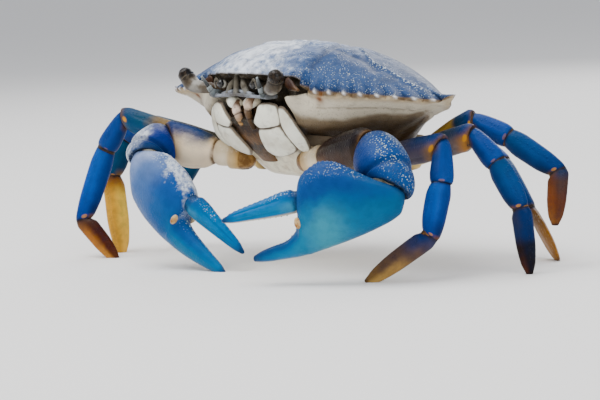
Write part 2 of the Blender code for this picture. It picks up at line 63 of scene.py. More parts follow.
camera_back = Vector((math.sin(CAMERA_TURN) * math.cos(CAMERA_RISE),
                      -math.cos(CAMERA_TURN) * math.cos(CAMERA_RISE), math.sin(CAMERA_RISE)))
level_right = Vector((math.cos(CAMERA_TURN), math.sin(CAMERA_TURN), 0.0))
level_up = camera_back.cross(level_right)
camera_right = level_right * math.cos(CAMERA_ROLL) + level_up * math.sin(CAMERA_ROLL)
camera_up = camera_back.cross(camera_right)
camera_place = (Vector(TRUNK_CENTRE) + level_right * CAMERA_AIM_ACROSS + Vector((0, 0, CAMERA_AIM_UP))
                + camera_back * CAMERA_DISTANCE) * MM
camera_data = bpy.data.cameras.new("camera")
camera_data.lens = 180.0
camera_data.sensor_width = 36.0
camera_data.clip_start = 0.01
camera = bpy.data.objects.new("camera", camera_data)
camera.matrix_world = Matrix.Translation(camera_place) @ Matrix(
    (camera_right, camera_up, camera_back)).transposed().to_4x4()
bpy.context.scene.collection.objects.link(camera)
bpy.context.scene.camera = camera

# ---- Light and floor --------------------------------------------------------------------------------
# Soft daylight from a large panel overhead and towards the crab's front, weaker panels at its left and
# behind it, a pale surround, and a plain pale floor under the leg tips.
FLOOR_SIZE = 18.0                # metres, so that its far edge stays out of sight
FLOOR_COLOUR = (0.83, 0.815, 0.79)
FLOOR_ROUGHNESS = 0.9
SURROUND_COLOUR = (0.9, 0.93, 1.0)
SURROUND_STRENGTH = 0.75
LIGHTS = (                       # name, place in metres, side of the panel, power in watts
    ("overhead_panel", (-0.15, -0.35, 0.95), 0.9, 15.0),
    ("left_panel", (0.95, -0.25, 0.45), 0.7, 5.0),
    ("rear_panel", (-0.5, 0.8, 0.6), 0.8, 5.0),
)


def light_panel(name, place, side, power):
    data = bpy.data.lights.new(name, "AREA")
    data.shape = "SQUARE"
    data.size = side
    data.energy = power
    panel = bpy.data.objects.new(name, data)
    panel.location = place
    panel.rotation_euler = (-Vector(place)).to_track_quat("-Z", "Y").to_euler()
    bpy.context.scene.collection.objects.link(panel)


def pale_surround():
    world = bpy.data.worlds.new("pale_surround")
    world.use_nodes = True
    background = world.node_tree.nodes["Background"]
    background.inputs["Color"].default_value = (*SURROUND_COLOUR, 1.0)
    background.inputs["Strength"].default_value = SURROUND_STRENGTH
    bpy.context.scene.world = world


def new_piece(name, add, **sizes):
    """A primitive under the piece's own name, and the only thing selected."""
    bpy.ops.object.select_all(action="DESELECT")
    add(**sizes)
    piece = bpy.context.object
    piece.name = piece.data.name = name
    return piece


def make_floor():
    floor = new_piece("floor", bpy.ops.mesh.primitive_plane_add, size=FLOOR_SIZE)
    material = bpy.data.materials.new("pale_floor")
    material.use_nodes = True
    shader = material.node_tree.nodes["Principled BSDF"]
    shader.inputs["Base Color"].default_value = (*FLOOR_COLOUR, 1.0)
    shader.inputs["Roughness"].default_value = FLOOR_ROUGHNESS
    floor.data.materials.append(material)


for light in LIGHTS:
    light_panel(*light)
pale_surround()
make_floor()

# ---- Carapace ---------------------------------------------------------------------------------------
# The one broad shell over the back: chalky armour with fine grains, eight teeth and a long spine on each
# side.  A flat grid is wrapped into the dome, over the toothed edge and down the flanks to the legs.
TRUNK_PITCH = math.radians(-9.5)
SHELL_HALF_WIDTH = 74.0
SHELL_TIP_Y = -9.0
SHELL_FRONT_Y = -35.7
SHELL_REAR_Y = 29.0
SHELL_REAR_HALF_WIDTH = 21.0
SHELL_DOME_HEIGHT = 15.5
EDGE_LEVEL = -1.0                # height of the shell's edge along its sides
FRONT_LIP_LIFT, SPINE_LIFT, REAR_LIFT = 4.2, 2.0, 1.5   # how much higher it runs in those places
EYE_SOCKET_X = (11.3, 27.8)
TOOTH_COUNT = 8
TOOTH_DEPTH = 2.6
SIDE_TEETH_START = (27.8, -30.3)
SIDE_TEETH_END = (67.0, -11.0)
SIDE_MARGIN_BULGE = 4.2
FLANK_DEPTH = 13.0               # the underside's height below the trunk's middle
FLANK_HALF_WIDTH = 33.0          # half the width that the flanks close in to
FLANK_MIDDLE_Y = 1.5
FLANK_AHEAD, FLANK_BEHIND = 28.0, 24.0   # how far the closed-in flanks reach from that middle
FLANK_SEAM_AT = 0.42             # share of the way down the flank at which its fine seam runs
FLANK_SEAM_HEIGHT = 0.3
FLANK_SWELL = 0.65               # how far the flank bulges down on its way in
TOOTH_RELAX = 4.6                # how far in from the edge the teeth fade, as a blur in millimetres
OUTLINE_STEP = 0.5               # between the places along the edge at which it is blurred
EDGE_SHARE = 0.62                # share of the grid that lies on the back, before the edge
UNDER_SHARE = 0.94               # where the flank ends and the closed underside starts
FACE_DEPTH = 3.0                 # the face is sunk behind the front lip, between the eye sockets
SOCKET_DEPTH = 2.2
FACE_EDGE_X = (18.5, 22.0)       # where the sunk face meets the flank, above and below
SOCKET_FLOOR_Z = (-2.9, -1.0)    # the eye socket's floor, at its inner and its outer end
RUST_SPOT, RUST_SPOT_SIZE = (32.3, -26.6), (1.5, 1.1)   # a stain below the first side tooth
CHEEK_SWELL = 4.4                # beside the mouth the flank stands forward, level with the outer doors
TOOTH_NOTCH, TOOTH_TIP = 0.24, 0.95   # where a side tooth's notch and tip lie along its step
SHELL_ALONG = 132                # rings of the grid from the middle of the back to the underside
RING_CROWDING = 0.85             # below 1 the rings crowd towards the edge
RING_CENTRE_Y = -1.0             # where the rings on the back shrink to a point
TRUNK_TURN = np.array(Matrix.Rotation(TRUNK_PITCH, 3, "X"))


def from_trunk(points):
    """Places in the tipped trunk frame, brought to the standing frame, still in millimetres."""
    return np.asarray(points) @ TRUNK_TURN.T + TRUNK_CENTRE


def smooth_step(value, low, high):
    t = np.clip((value - low) / (high - low), 0.0, 1.0)
    return t * t * (3.0 - 2.0 * t)


def mix(a, b, t):
    return a + (b - a) * t


def bell(offset, width):
    """A smooth hump: 1 where the offset is zero, and nearly 0 past twice the width."""
    return np.exp(-(offset / width) ** 2)


def soft_step(a, b, slope_a, slope_b, t):
    """Point at the share t of a curve from a to b that leaves and arrives with the given slopes."""
    return ((2 * t ** 3 - 3 * t ** 2 + 1) * a + (t ** 3 - 2 * t ** 2 + t) * slope_a
            + (3 * t ** 2 - 2 * t ** 3) * b + (t ** 3 - t ** 2) * slope_b)


def rounded_curve(points, steps):
    """Soft curve through a few given points, with the same number of steps between each pair."""
    points = np.array(points, float)
    slopes = np.gradient(points, axis=0)
    return [soft_step(points[k], points[k + 1], slopes[k], slopes[k + 1], t)
            for k in range(len(points) - 1) for t in np.linspace(0.0, 1.0, steps, endpoint=False)]


def side_arc(t):
    """Point on the side margin: t = 0 at the eye socket's outer corner, 1 at the spine's root."""
    start, end = np.array(SIDE_TEETH_START), np.array(SIDE_TEETH_END)
    across = np.array((end[1] - start[1], start[0] - end[0])) / np.linalg.norm(end - start)
    return mix(start, end, t) + across * SIDE_MARGIN_BULGE * math.sin(math.pi * t)


def side_tooth(tooth):
    """One side tooth: a long convex outer edge up to the point, then a short drop to the next notch."""
    inward = np.array((-0.45, 0.9)) * TOOTH_DEPTH
    notch = side_arc((tooth + TOOTH_NOTCH) / TOOTH_COUNT) + inward
    tip = side_arc((tooth + TOOTH_TIP) / TOOTH_COUNT)
    following = side_arc((tooth + 1 + TOOTH_NOTCH) / TOOTH_COUNT) + inward
    rise = [mix(notch, tip, t) - inward * 0.16 * math.sin(math.pi * t) for t in np.linspace(0, 1, 8)]
    drop = [mix(tip, following, t) + inward * 0.1 * math.sin(math.pi * t) for t in (0.3, 0.6, 0.85)]
    return rise + drop


def shell_outline():
    """The shell's whole edge from above, from the middle of the front round by the left side."""
    lip_y = SHELL_FRONT_Y
    front = rounded_curve(((0.0, lip_y + 1.7), (1.2, lip_y + 1.0), (2.9, lip_y - 0.4), (4.8, lip_y + 1.4),
                           (7.4, lip_y - 0.2), (9.2, lip_y + 1.8), (EYE_SOCKET_X[0], lip_y + 0.8)), 5)
    inner, outer = EYE_SOCKET_X
    socket = rounded_curve(((inner, lip_y + 0.8), (inner + 1.6, -32.2), (inner + 4.4, -31.0),
                            (inner + 5.2, -30.2), (inner + 6.0, -30.9), (inner + 9.6, -30.3),
                            (inner + 10.4, -29.4), (inner + 11.2, -29.9), (outer - 2.0, -28.8),
                            (outer, -31.4)), 4)
    teeth = [point for tooth in range(TOOTH_COUNT) for point in side_tooth(tooth)]
    spine = rounded_curve(((68.4, -8.9), (71.4, -9.4), (SHELL_HALF_WIDTH, SHELL_TIP_Y)), 6)
    spine += rounded_curve(((SHELL_HALF_WIDTH, SHELL_TIP_Y), (71.0, -7.2), (67.5, -5.2)), 6)
    rear_side = []
    for t in np.linspace(0.02, 1.0, 44):
        x = mix(67.5, SHELL_REAR_HALF_WIDTH + 2.0, t)
        y = mix(-5.4, SHELL_REAR_Y - 1.6, t)
        rear_side.append((x, y + 0.9 * math.sin(math.pi * t)))
    rear = rounded_curve(((SHELL_REAR_HALF_WIDTH, SHELL_REAR_Y - 0.6), (12.6, SHELL_REAR_Y),
                          (0.0, SHELL_REAR_Y + 0.2)), 8)
    half = np.array(front + socket + teeth + spine + rear_side + rear)
    mirrored = half[:0:-1] * (-1.0, 1.0)
    return np.vstack((half, ((0.0, SHELL_REAR_Y + 0.2),), mirrored))


def relaxed_outline(outline, blur):
    """The same closed outline with its teeth and corners blurred away, for the rings inside the edge."""
    steps = np.linalg.norm(np.roll(outline, -1, axis=0) - outline, axis=1)
    length = np.concatenate(((0.0,), np.cumsum(steps)))
    even = np.arange(0.0, length[-1], OUTLINE_STEP)
    offsets = np.arange(-4 * blur, 4 * blur + OUTLINE_STEP, OUTLINE_STEP)
    weights = np.exp(-(offsets / blur) ** 2 / 2)
    weights /= weights.sum()
    result = []
    for axis in (0, 1):
        values = np.interp(even, length, np.append(outline[:, axis], outline[0, axis]))
        wide = np.concatenate((values[-len(weights):], values, values[:len(weights)]))
        soft = np.convolve(wide, weights, mode="same")[len(weights):-len(weights)]
        result.append(np.interp(length[:-1], even, soft))
    return np.stack(result, axis=1)


def edge_height(x, y):
    """Height of the shell's edge: the front lip and the spines sit a little above the side teeth."""
    front_lip = FRONT_LIP_LIFT * smooth_step(np.abs(x), 31.0, 22.0) * smooth_step(y, 4.0, -16.0)
    spine_lift = SPINE_LIFT * np.maximum(0.0, (np.abs(x) - 66.0) / 8.0)
    return EDGE_LEVEL + front_lip + spine_lift + REAR_LIFT * smooth_step(y, 12.0, 22.0)


def dome_height(x, y, s):
    """Height of the back over a point at the fraction s from the centre to the edge.

    A higher power keeps the top flat for longer: most in front, less behind, least towards the sides.
    """
    sideways = np.minimum(1.0, (x / SHELL_HALF_WIDTH) ** 2 / np.maximum(s * s, 1e-6))
    power = mix(2.8 - 0.5 * smooth_step(y, -6.0, 6.0), 1.35, sideways)
    fullness = (1.0 - np.minimum(s, 1.0) ** power) ** mix(0.8, 1.0, sideways)
    return mix(edge_height(x, y), SHELL_DOME_HEIGHT, fullness)


def mound(x, y, centre, spread):
    return np.exp(-((x - centre[0]) / spread[0]) ** 2 - ((y - centre[1]) / spread[1]) ** 2)


def line_distance(x, y, points):
    """Distance of each place from a line drawn through a few points."""
    best = np.full(x.shape, 1e9)
    for (ax, ay), (bx, by) in zip(points, points[1:]):
        dx, dy = bx - ax, by - ay
        t = np.clip(((x - ax) * dx + (y - ay) * dy) / (dx * dx + dy * dy), 0.0, 1.0)
        best = np.minimum(best, np.hypot(x - ax - t * dx, y - ay - t * dy))
    return best


LOBES = (  # centre, spread, height: stomach, heart, gill chamber and liver regions of the left half
    ((9.5, -14.0), (9.0, 9.0), 0.9), ((0.0, -4.0), (6.0, 7.0), 0.5), ((6.5, 11.0), (6.0, 8.0), 0.9),
    ((33.0, 2.0), (22.0, 13.0), 1.0), ((31.0, -20.0), (9.0, 5.5), 0.6), ((0.0, 22.0), (9.0, 4.0), 0.4),
    ((17.0, -26.0), (5.0, 3.5), 0.5), ((5.0, -27.0), (3.5, 5.5), 0.5),
)
GROOVES = (  # line, width, depth
    (((25.0, -25.0), (21.0, -16.0), (16.0, -7.5), (9.0, -2.0), (7.0, 2.0)), 1.5, 0.95),
    (((7.0, 2.0), (12.5, 6.0), (14.0, 14.0), (10.0, 21.0)), 1.3, 0.9),
    (((21.0, -16.0), (32.0, -13.0), (42.0, -14.0)), 1.5, 0.5),
    (((0.0, -34.0), (0.0, -24.0)), 0.9, 0.5), (((0.0, 3.5), (4.0, 4.5), (7.0, 2.0)), 0.9, 0.5),
)
RAISED_LINES = (  # line, width, height: the grainy keels across the back
    (((67.0, -8.5), (52.0, -11.0), (36.0, -11.5), (24.0, -7.0), (18.0, -2.0)), 0.55, 0.5),
    (((4.0, -17.5), (14.0, -16.0)), 0.5, 0.4), (((1.5, -9.5), (6.0, -10.5)), 0.5, 0.35),
)


def drawn_lines(x, y, lines):
    """The strongest of several lines at each place, each line with its own width and strength."""
    best = np.zeros(x.shape)
    for points, width, strength in lines:
        best = np.maximum(best, bell(line_distance(x, y, points), width) * strength)
    return best


def back_relief(x, y):
    """Swellings, grooves and fine keels of the back, with the grooves and the keels on their own."""
    x = np.abs(x)
    swelling = sum(height * mound(x, y, centre, spread) for centre, spread, height in LOBES)
    groove, keel = drawn_lines(x, y, GROOVES), drawn_lines(x, y, RAISED_LINES)
    return swelling - groove + keel, groove, keel


SEAM_MERGE = 2e-6                # metres; points closer than this close a grid's seams and poles
CREASE = math.radians(50)        # edges that turn further than this stay sharp


def wrapped_grid(name, around, along, shape):
    """A primitive grid wrapped round: shape(u, v) gives places in millimetres and named masks."""
    piece = new_piece(name, bpy.ops.mesh.primitive_grid_add, x_subdivisions=around,
                      y_subdivisions=along, size=1.0)
    flat = np.empty(len(piece.data.vertices) * 3)
    piece.data.vertices.foreach_get("co", flat)
    grid = flat.reshape(-1, 3)
    places, masks = shape(grid[:, 0] + 0.5, grid[:, 1] + 0.5)
    piece.data.vertices.foreach_set("co", (np.asarray(places) * MM).ravel())
    for mask, values in masks.items():
        attribute = piece.data.attributes.new(mask, "FLOAT", "POINT")
        attribute.data.foreach_set("value", np.broadcast_to(values, len(grid)).astype(np.float32))
    bpy.ops.object.mode_set(mode="EDIT")
    bpy.ops.mesh.select_all(action="SELECT")
    bpy.ops.mesh.remove_doubles(threshold=SEAM_MERGE)
    bpy.ops.mesh.normals_make_consistent(inside=False)
    bpy.ops.object.mode_set(mode="OBJECT")
    bpy.ops.object.shade_smooth_by_angle(angle=CREASE)
    return piece


SHEEN = 0.3                      # how strongly the dry shell mirrors its surroundings
COAT_ROUGHNESS = 0.25
DARK_GAIN, PALE_GAIN = 0.5, 1.22   # base colour for the look of a dark and of a pale tone in full light
GAIN_LUMINANCE = (0.22, 0.66)    # the tones between which the gain rises
LUMINANCE = (0.21, 0.72, 0.07)   # what red, green and blue add to a tone's lightness
PALEST = 0.9


def paint(red, green, blue):
    """A colour given as it looks in full light, in steps of 255, as a base colour for the shader.

    The curve from steps to light is the usual one for screens.  The gain makes up for what the view
    does to dark and to pale tones.
    """
    linear = np.array([step / 3295 if step <= 10 else ((step / 255 + 0.055) / 1.055) ** 2.4
                       for step in (red, green, blue)])
    gain = mix(DARK_GAIN, PALE_GAIN, smooth_step(linear @ LUMINANCE, *GAIN_LUMINANCE))
    return (*np.minimum(linear * gain, PALEST).tolist(), 1.0)


class Finish:
    """A node material under construction: a Principled shader and short ways to add nodes to it."""

    def __init__(self, name):
        self.material = bpy.data.materials.new(name)
        self.material.use_nodes = True
        self.tree = self.material.node_tree
        self.shader = self.tree.nodes["Principled BSDF"]
        self.place = self.tree.nodes.new("ShaderNodeTexCoord").outputs["Object"]

    def link(self, value, socket):
        if isinstance(value, bpy.types.NodeSocket):
            self.tree.links.new(value, socket)
        else:
            socket.default_value = value

    def mask(self, name):
        node = self.tree.nodes.new("ShaderNodeAttribute")
        node.attribute_name = name
        return node.outputs["Fac"]

    def math(self, operation, a, b=0.0, clamp=False):
        node = self.tree.nodes.new("ShaderNodeMath")
        node.operation = operation
        node.use_clamp = clamp
        self.link(a, node.inputs[0])
        self.link(b, node.inputs[1])
        return node.outputs[0]

    def times(self, a, b, clamp=False):
        return self.math("MULTIPLY", a, b, clamp)

    def plus(self, a, b):
        return self.math("ADD", a, b)

    def wander(self, amount, size, detail=3.0, roughness=0.55, middle=0.5):
        """Noise that swings about zero, by about half the amount either way."""
        return self.times(self.math("SUBTRACT", self.noise(size, detail, roughness), middle), amount)

    def remap(self, value, low, high, to_low=0.0, to_high=1.0):
        """The share of the way from low to high, eased at both ends and held past them."""
        node = self.tree.nodes.new("ShaderNodeMapRange")
        node.interpolation_type = "SMOOTHSTEP"
        self.link(value, node.inputs["Value"])
        sockets = ("From Min", "From Max", "To Min", "To Max")
        for socket, number in zip(sockets, (low, high, to_low, to_high)):
            node.inputs[socket].default_value = number
        return node.outputs["Result"]

    def noise(self, size, detail=3.0, roughness=0.55):
        """Noise whose blotches are about this many millimetres across."""
        node = self.tree.nodes.new("ShaderNodeTexNoise")
        self.link(self.place, node.inputs["Vector"])
        node.inputs["Scale"].default_value = 1.0 / (size * MM)
        node.inputs["Detail"].default_value = detail
        node.inputs["Roughness"].default_value = roughness
        return node.outputs["Fac"]

    def grains(self, size):
        """Distance from the nearest of many scattered grains, about this many millimetres apart."""
        node = self.tree.nodes.new("ShaderNodeTexVoronoi")
        self.link(self.place, node.inputs["Vector"])
        node.inputs["Scale"].default_value = 1.0 / (size * MM)
        return node.outputs["Distance"]

    def ramp(self, value, stops):
        """Colours run through in turn; each stop is (position, red, green, blue) as for paint."""
        node = self.tree.nodes.new("ShaderNodeValToRGB")
        self.link(value, node.inputs["Fac"])
        node.color_ramp.interpolation = "EASE"
        elements = node.color_ramp.elements
        while len(elements) < len(stops):
            elements.new(0.5)
        for element, (position, *colour) in zip(elements, stops):
            element.position = position
            element.color = paint(*colour)
        return node.outputs["Color"]

    def blend(self, a, b, share):
        """Colour a, covered by colour b as far as the share says."""
        node = self.tree.nodes.new("ShaderNodeMix")
        node.data_type = "RGBA"
        self.link(share, node.inputs["Factor"])
        self.link(a, node.inputs[6])
        self.link(b, node.inputs[7])
        return node.outputs[2]

    def bump(self, height, depth, before=None):
        """Relief of this many millimetres from a height between 0 and 1."""
        node = self.tree.nodes.new("ShaderNodeBump")
        node.inputs["Distance"].default_value = depth * MM
        self.link(height, node.inputs["Height"])
        if before is not None:
            self.link(before, node.inputs["Normal"])
        return node.outputs["Normal"]

    def gloss(self, size, low, high):
        """Roughness that wanders between two values in blotches of this many millimetres."""
        return self.remap(self.noise(size), 0.3, 0.7, low, high)

    def finished(self, colour, roughness, normal, coat):
        self.link(colour, self.shader.inputs["Base Color"])
        self.link(colour, self.shader.inputs["Specular Tint"])
        self.link(roughness, self.shader.inputs["Roughness"])
        self.shader.inputs["Coat Weight"].default_value = coat
        self.shader.inputs["Coat Roughness"].default_value = COAT_ROUGHNESS
        self.shader.inputs["Specular IOR Level"].default_value = SHEEN
        self.link(normal, self.shader.inputs["Normal"])
        return self.material


def dressed(piece, material, slot, *nodes):
    """Gives a piece its material and its ride, and hides the nodes that it stands for; the slot is not
    used.
    """
    piece.data.materials.clear()
    piece.data.materials.append(material)
    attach(piece, "root")
    if nodes:
        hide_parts(*nodes)


def back_colour(finish):
    wander = finish.wander(0.9, 9.0, 4.0)
    rearward = finish.plus(finish.mask("rearward"), wander)
    # Blue from front to rear, under two strengths of pale frost and a darker mottle.
    # The frost is partly the shell's own pale tone and partly painted sheen on the front of the back.
    colour = finish.ramp(rearward, ((0.0, 70, 106, 162), (0.3, 50, 88, 144), (0.6, 52, 84, 132),
                                    (0.85, 84, 104, 136), (1.0, 120, 130, 150)))
    cloudy = finish.wander(1.7, 2.8, 5.0, 0.66, 0.52)
    front_frost_and_sheen = finish.plus(finish.plus(finish.mask("pale"), wander), cloudy)
    colour = finish.blend(colour, paint(138, 158, 196), finish.remap(front_frost_and_sheen, 0.05, 0.62, 0.0, 0.88))
    colour = finish.blend(colour, paint(212, 217, 230), finish.remap(front_frost_and_sheen, 0.5, 1.1, 0.0, 0.88))
    mottle = finish.remap(finish.noise(2.6, 4.0), 0.42, 0.68)
    colour = finish.blend(colour, paint(24, 50, 98), finish.times(mottle, 0.3))
    # A dark edge, white grains in crowds and along the keels, painted shade in the grooves, and white tooth
    # points.
    rim = finish.times(finish.mask("rim"), finish.remap(finish.noise(3.0), 0.3, 0.6, 0.5, 1.0))
    colour = finish.blend(colour, paint(28, 50, 92), rim)
    grain = finish.remap(finish.grains(0.65), 0.12, 0.32, 1.0, 0.0)
    crowd = finish.times(grain, finish.remap(finish.noise(3.4), 0.36, 0.64, 0.06, 0.85))
    keel = finish.times(finish.mask("keel"), finish.remap(finish.grains(0.9), 0.16, 0.42, 0.7, 0.0))
    colour = finish.blend(colour, paint(214, 224, 238), finish.math("MAXIMUM", crowd, keel))
    # Painted shade darkens the grooves.
    colour = finish.blend(colour, paint(20, 38, 78), finish.times(finish.mask("groove"), 0.5))
    return finish.blend(colour, paint(244, 244, 240), finish.mask("point")), grain


def flank_colour(finish):
    down = finish.plus(finish.mask("under"), finish.wander(0.16, 5.0))
    # Cream down the flank, turning dark brown at its lower edge: painted shade over the recess under it.
    colour = finish.ramp(down, ((0.0, 150, 122, 88), (0.05, 200, 180, 146), (0.2, 206, 196, 174),
                                (0.55, 200, 190, 168), (0.75, 160, 138, 108), (0.92, 96, 76, 54),
                                (1.0, 70, 54, 38)))
    stain = finish.remap(finish.noise(4.0, 4.0), 0.5, 0.76)
    colour = finish.blend(colour, paint(140, 124, 98), finish.times(stain, 0.4))
    seam = finish.times(finish.mask("seam"), finish.remap(finish.noise(3.0), 0.35, 0.65))
    colour = finish.blend(colour, paint(142, 108, 70), finish.times(seam, 0.7))
    colour = finish.blend(colour, paint(170, 96, 30), finish.mask("spot"))
    # Painted shade inside the sunk face and the eye sockets.
    pit_shade = finish.ramp(finish.noise(2.4, 4.0), ((0.3, 34, 28, 22), (0.52, 70, 60, 46),
                                               (0.7, 112, 104, 90)))
    colour = finish.blend(colour, pit_shade, finish.mask("hollow_shade"))
    return finish.blend(colour, paint(240, 240, 236), finish.mask("point"))


def carapace_finish():
    """Lavender blue in front, frosted partly by painted sheen, slate blue behind, white grains,
    and cream flanks with worn streaks that painted shade darkens to brown below.
    """
    finish = Finish("carapace_shell")
    back, grain = back_colour(finish)
    colour = finish.blend(back, flank_colour(finish), finish.mask("below"))
    relief = finish.bump(grain, 0.16)
    relief = finish.bump(finish.noise(0.7, 3.0), 0.07, relief)
    return finish.finished(colour, finish.gloss(2.0, 0.36, 0.54), relief, coat=0.05)


def flank_places(rim_x, rim_y, f):
    """Places of the flank from the rim (f = 0) down and in to the underside (f = 1), and its masks."""
    angle = np.arctan2(rim_y / 30.0, rim_x / FLANK_HALF_WIDTH)
    behind = smooth_step(rim_y, -6.0, 8.0)
    tuck = 1.0 - 0.1 * behind
    x = mix(rim_x, FLANK_HALF_WIDTH * np.cos(angle) * tuck, f)
    reach = np.where(rim_y > 0, FLANK_BEHIND, FLANK_AHEAD)
    y = mix(rim_y, FLANK_MIDDLE_Y + reach * np.sin(angle) * tuck, f)
    fall = 1.25 + 0.65 * smooth_step(np.abs(rim_x), 44.0, 66.0) + 0.4 * behind
    z = mix(edge_height(rim_x, rim_y) - 0.8 * smooth_step(f, 0.0, 0.04), -FLANK_DEPTH, f ** fall)
    aside = np.abs(x)
    ahead = y < 0

    # The face is sunk behind the front lip, and each socket above its floor; both are painted dark inside
    # as shade.
    face_edge = mix(*FACE_EDGE_X, smooth_step(f, 0.25, 0.8))
    face = smooth_step(aside, face_edge, face_edge - 3.0) * ahead
    face = face * smooth_step(f, 0.0, 0.14) * smooth_step(f, 0.9, 0.6)
    socket_floor = mix(*SOCKET_FLOOR_Z, np.clip((aside - 17.0) / 11.0, 0.0, 1.0))
    socket = smooth_step(z, socket_floor - 0.3, socket_floor + 0.3)
    socket = socket * smooth_step(aside, EYE_SOCKET_X[1] + 0.4, EYE_SOCKET_X[1] - 1.0) * (aside > 11.0)
    hollow_shade = np.maximum(smooth_step(aside, face_edge - 1.6, face_edge - 2.8), socket) * (y < -8.0)
    # The cheeks beside it swell forward, and a fine seam runs along each flank.
    cheek = smooth_step(f, 0.12, 0.6) * smooth_step(f, 1.06, 0.84) * smooth_step(aside, 38.0, 25.0)
    sunk = np.maximum(face * FACE_DEPTH, socket * SOCKET_DEPTH * smooth_step(f, 0.0, 0.04))
    y = y + (sunk - CHEEK_SWELL * cheek * (1.0 - face)) * ahead

    swell = FLANK_SWELL * np.sin(math.pi * f) * smooth_step(aside, 26.0, 36.0)
    seam = bell(f - FLANK_SEAM_AT - 0.1 * np.sin(x / 9.0), 0.02) * smooth_step(aside, 27.0, 32.0)
    z = z - swell + seam * FLANK_SEAM_HEIGHT
    # Painted shade: the flank turns brown sooner towards the rear and the spines, and on its way in to the
    # legs.
    worn = 0.32 * smooth_step(rim_y, -12.0, 4.0) + 0.22 * smooth_step(np.abs(rim_x), 36.0, 58.0)
    worn = np.clip(f + worn * smooth_step(f, 0.2, 0.6), 0.0, 1.0)
    spot = mound(aside, y, RUST_SPOT, RUST_SPOT_SIZE) * smooth_step(f, 0.5, 0.3)
    return x, y, z, {"under": worn, "seam": seam, "hollow_shade": hollow_shade, "spot": spot}


def make_carapace():
    outline = shell_outline()
    relaxed = relaxed_outline(outline, TOOTH_RELAX)
    count = len(outline)
    tips = np.array([side_arc((tooth + TOOTH_TIP) / TOOTH_COUNT) for tooth in range(TOOTH_COUNT)]
                    + [(SHELL_HALF_WIDTH, SHELL_TIP_Y)])
    from_tip = np.min(np.hypot(np.abs(outline[:, :1]) - tips[:, 0], outline[:, 1:] - tips[:, 1]), axis=1)

    def shape(u, v):
        k = np.rint(u * count).astype(int) % count
        edge_x, edge_y = outline[k].T
        soft_x, soft_y = relaxed[k].T
        s = np.minimum(v / EDGE_SHARE, 1.0) ** RING_CROWDING
        f = np.clip((v - EDGE_SHARE) / (UNDER_SHARE - EDGE_SHARE), 0.0, 1.0)
        close = np.clip((v - UNDER_SHARE) / (1.0 - UNDER_SHARE), 0.0, 1.0)
        below = v > EDGE_SHARE

        # On the back the teeth show only in the outermost rings, and further in the rings are smooth.
        sharp = smooth_step(s, 0.86, 1.0)
        x = mix(soft_x, edge_x, sharp) * s
        y = (mix(soft_y, edge_y, sharp) - RING_CENTRE_Y) * s + RING_CENTRE_Y
        relief, groove, keel = back_relief(x, y)
        z = dome_height(x, y, s) + relief * smooth_step(s, 1.0, 0.82)

        # Below the edge the teeth fade again, and the last rings close the underside.
        toothed = smooth_step(f, 0.1, 0.0)
        flank_x, flank_y, flank_z, masks = flank_places(mix(soft_x, edge_x, toothed),
                                                        mix(soft_y, edge_y, toothed), f)
        x = np.where(below, flank_x, x) * (1.0 - close)
        y = mix(np.where(below, flank_y, y), FLANK_MIDDLE_Y, close)
        z = np.where(below, flank_z, z)
        for mask in ("seam", "hollow_shade", "spot"):
            masks[mask] = masks[mask] * below
        inner = smooth_step(s, 1.0, 0.9)
        by_edge = np.where(below, smooth_step(f, 0.03, 0.0), smooth_step(s, 0.985, 1.0))
        masks.update({
            "below": below * 1.0,
            "rearward": (y + 36.0) / 66.0 + 0.12 * np.abs(x) / SHELL_HALF_WIDTH,
            "rim": smooth_step(s, 0.955, 1.0) * smooth_step(np.abs(x), 18.0, 27.0),
            "groove": np.clip(groove, 0.0, 1.0) * inner,
            "keel": np.clip(keel * 2.2, 0.0, 1.0) * inner,
            "point": bell(from_tip[k], 0.7) * by_edge,
            # Pale frost at the front of the back: partly the shell's own tone, partly painted sheen.
            "pale": smooth_step(np.abs(x + 3.0), 38.0, 3.0) * smooth_step(y, 18.0, -15.0)})
        return from_trunk(np.stack((x, y, z), axis=1)), masks

    shell = wrapped_grid("carapace_shell", count, SHELL_ALONG, shape)
    dressed(shell, carapace_finish(), "carapace_shell", "carapace")


make_carapace()

# ---- Limb shells: shared build ----------------------------------------------------------------------
# Each limb is a chain of stiff tubes of shell, joined by soft skin.  A link is drawn along its chain's
# joints as a flat grid wrapped through oval sections, with its edges, furrows and rims worked in.
SOCKET_LENGTH = 9.5              # coxa and ischium together, up to the long merus
JOINT_BLEND = 3                  # how soon a link forgets the lean of its joint planes
GAP = 0.3                        # between the shells of two links
CAP_SHARE = 0.07                 # share of a link's grid that closes each of its ends
END_BAND = 0.035                 # share of a link that its stained ends take up
HINGE_AT = 0.955                 # where the golden hinge spot lies along a link
LINK_AROUND, LINK_ALONG = 64, 84
